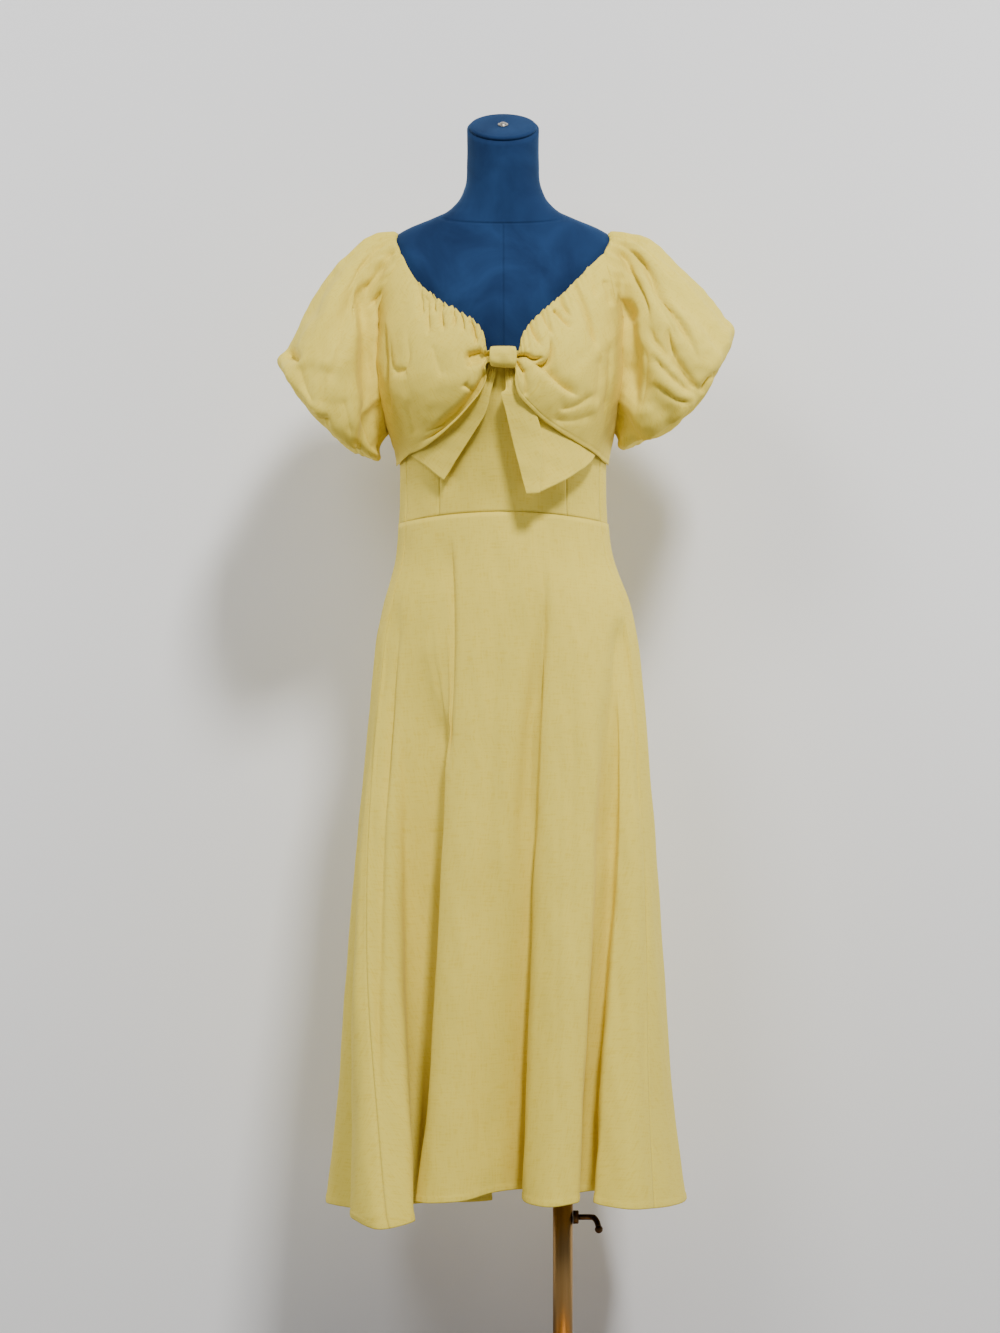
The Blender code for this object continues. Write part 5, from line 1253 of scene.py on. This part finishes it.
turned_piece("outer_tube_brass", "outer_tube", tube_profile, 64, brass, "stand", "polished_brass")
base_profile = ([(0.0, 0.0), (BASE_RADIUS - 0.001, 0.0), (BASE_RADIUS, 0.001)]
                + arc((BASE_RADIUS - BASE_ROUND, BASE_HEIGHT - BASE_ROUND), BASE_ROUND, 0, 90, 8)
                + [(0.026, BASE_HEIGHT), (0.0, BASE_HEIGHT)])
turned_piece("base_plate_brass", "base_plate", base_profile, 128, brass, "stand", "polished_brass")

# %% Clamp boss and crank
CLAMP_Z = 0.2530
NUT_RADIUS = 0.0082
NUT_LENGTH = 0.0068
CRANK_RADIUS = 0.0035
CRANK_BALL = 0.0049
CRANK_REACH = 0.0215
CRANK_DROP = 0.0110
crank_bore = CRANK_RADIUS + 0.0003
half_nut = NUT_LENGTH / 2
nut_profile = [(crank_bore, half_nut), (NUT_RADIUS - 0.0012, half_nut), (NUT_RADIUS, half_nut - 0.0008),
               (NUT_RADIUS, -half_nut + 0.0003), (NUT_RADIUS - 0.0003, -half_nut), (crank_bore, -half_nut),
               (crank_bore, half_nut)]
side_on = (Matrix.Translation((POLE_RADIUS + SEAM + half_nut, 0.0, CLAMP_Z))
           @ Matrix.Rotation(math.pi / 2, 4, "Y"))
turned_piece("clamp_boss_bronze", "clamp_nut", nut_profile, 40, metal_of["bronze"], "stand", "dark_bronze",
             side_on)

start = POLE_RADIUS + SEAM + 0.0005
bend = start + CRANK_REACH
crank_route = smooth_reader(np.linspace(0.0, 1.0, 6), [
    (start, 0.0, 0.0), (bend, 0.0, 0.0), (bend + 0.0040, -0.0030, -0.0012),
    (bend + 0.0068, -0.0075, -0.0046), (bend + 0.0082, -0.0120, -0.0085),
    (bend + 0.0088, -0.0160, -CRANK_DROP)])
shares = np.concatenate([[0.0, 0.1, 0.18], np.linspace(0.2, 1.0, 26)])
route = [Vector(point) + Vector((0.0, 0.0, CLAMP_Z)) for point in crank_route(shares)]
bm = bmesh.new()
last_ring = None
for index, point in enumerate(route):
    ahead = route[min(index + 1, len(route) - 1)] - route[max(index - 1, 0)]
    facing = Matrix.Translation(point) @ ahead.to_track_quat("Z", "Y").to_matrix().to_4x4()
    ring = bmesh.ops.create_circle(bm, segments=20, radius=CRANK_RADIUS, matrix=facing)["verts"]
    if last_ring is None:
        bmesh.ops.contextual_create(bm, geom=ring)
    else:
        edges = [e for e in bm.edges
                 if all(v in ring for v in e.verts) or all(v in last_ring for v in e.verts)]
        bmesh.ops.bridge_loops(bm, edges=edges)
    last_ring = ring
bmesh.ops.contextual_create(bm, geom=last_ring)
ball_place = Matrix.Translation(route[-1] + Vector((0.0002, -0.0028, -0.0018)))
bmesh.ops.create_uvsphere(bm, u_segments=32, v_segments=20, radius=CRANK_BALL, matrix=ball_place)
bmesh.ops.recalc_face_normals(bm, faces=bm.faces)
mesh = bpy.data.meshes.new("clamp_crank_bronze")
add_piece(bm, mesh, metal_of["bronze"], "crank", "dark_bronze", "clamp_crank")

# %% [markdown]
# ## Studio
# A plain wall stands close behind the dress, which throws a soft shadow on it, and meets a plain
# floor. The wall is painted on its front only and open from the rear, so the back of the dress can
# be looked at too. The key light comes from above on the right, a weaker one fills the left, and two
# small ones keep the wall bright at the sides.

# %% Floor, wall, light and camera
WALL_Y = 0.27
STAGE_HALF = 6.0


def stage_plane(name, place, material_name, swatch):
    """A large plane that shows its front only; from the rear it is open."""
    bm = bmesh.new()
    bmesh.ops.create_grid(bm, x_segments=1, y_segments=1, size=STAGE_HALF, matrix=place)
    mesh = bpy.data.meshes.new(name)
    bm.to_mesh(mesh)
    bm.free()
    paint, tree, shader = new_material(material_name)
    shader.inputs["Base Color"].default_value = linear(swatch)
    shader.inputs["Roughness"].default_value = 0.9
    rear = add_node(tree, "ShaderNodeNewGeometry").outputs["Backfacing"]
    open_air = add_node(tree, "ShaderNodeBsdfTransparent").outputs["BSDF"]
    one_sided = add_node(tree, "ShaderNodeMixShader", {0: rear, 1: shader.outputs["BSDF"], 2: open_air})
    tree.links.new(one_sided.outputs["Shader"], tree.nodes["Material Output"].inputs["Surface"])
    mesh.materials.append(paint)
    plane = bpy.data.objects.new(name, mesh)
    bpy.context.scene.collection.objects.link(plane)


upright = Matrix.Translation((0.0, WALL_Y, STAGE_HALF)) @ Matrix.Rotation(math.pi / 2, 4, "X")
stage_plane("studio_wall", upright, "matt_wall_paint", "#EDEDEE")
stage_plane("studio_floor", Matrix.Identity(4), "grey_floor_paint", "#8F8C88")

Lamp = namedtuple("Lamp", "name place aim size power")
LAMPS = [
    Lamp("key", (0.9, -3.2, 4.3), (TORSO_X, 0.0, 1.0), 0.7, 250.0),
    Lamp("fill", (-1.6, -3.2, 3.4), (TORSO_X, 0.0, 0.9), 1.2, 50.0),
    Lamp("wall left", (-1.8, -0.40, 1.3), (-1.0, WALL_Y, 1.1), 0.6, 10.0),
    Lamp("wall right", (1.6, -0.40, 1.4), (0.5, WALL_Y, 1.05), 0.7, 13.0),
]
for lamp in LAMPS:
    light = bpy.data.lights.new(lamp.name, "AREA")
    light.size = lamp.size
    light.energy = lamp.power
    holder = bpy.data.objects.new(lamp.name, light)
    holder.location = lamp.place
    holder.rotation_euler = (Vector(lamp.aim) - Vector(lamp.place)).to_track_quat("-Z", "Y").to_euler()
    bpy.context.scene.collection.objects.link(holder)

world = bpy.data.worlds.new("studio_air")
world.use_nodes = True
world.node_tree.nodes["Background"].inputs["Color"].default_value = linear("#E8ECF2")
world.node_tree.nodes["Background"].inputs["Strength"].default_value = 0.12
bpy.context.scene.world = world

CAMERA_DISTANCE = 6.0
METRES_PER_PIXEL = 0.00122     # at the torso, for a picture 1333 pixels high
PICTURE_HEIGHT = 1333
PICTURE_LEFT = 0.00366         # how far the picture's middle lies left of the torso's centre line
PICTURE_MIDDLE_Z = 0.9247
SENSOR_MM = 36.0
camera_data = bpy.data.cameras.new("camera")
camera_data.sensor_fit = "VERTICAL"
camera_data.sensor_height = SENSOR_MM
camera_data.lens = SENSOR_MM * CAMERA_DISTANCE / (PICTURE_HEIGHT * METRES_PER_PIXEL)
camera = bpy.data.objects.new("camera", camera_data)
camera.location = (TORSO_X - PICTURE_LEFT, -CAMERA_DISTANCE, PICTURE_MIDDLE_Z)
camera.rotation_euler = (math.pi / 2, 0.0, 0.0)
bpy.context.scene.collection.objects.link(camera)
bpy.context.scene.camera = camera
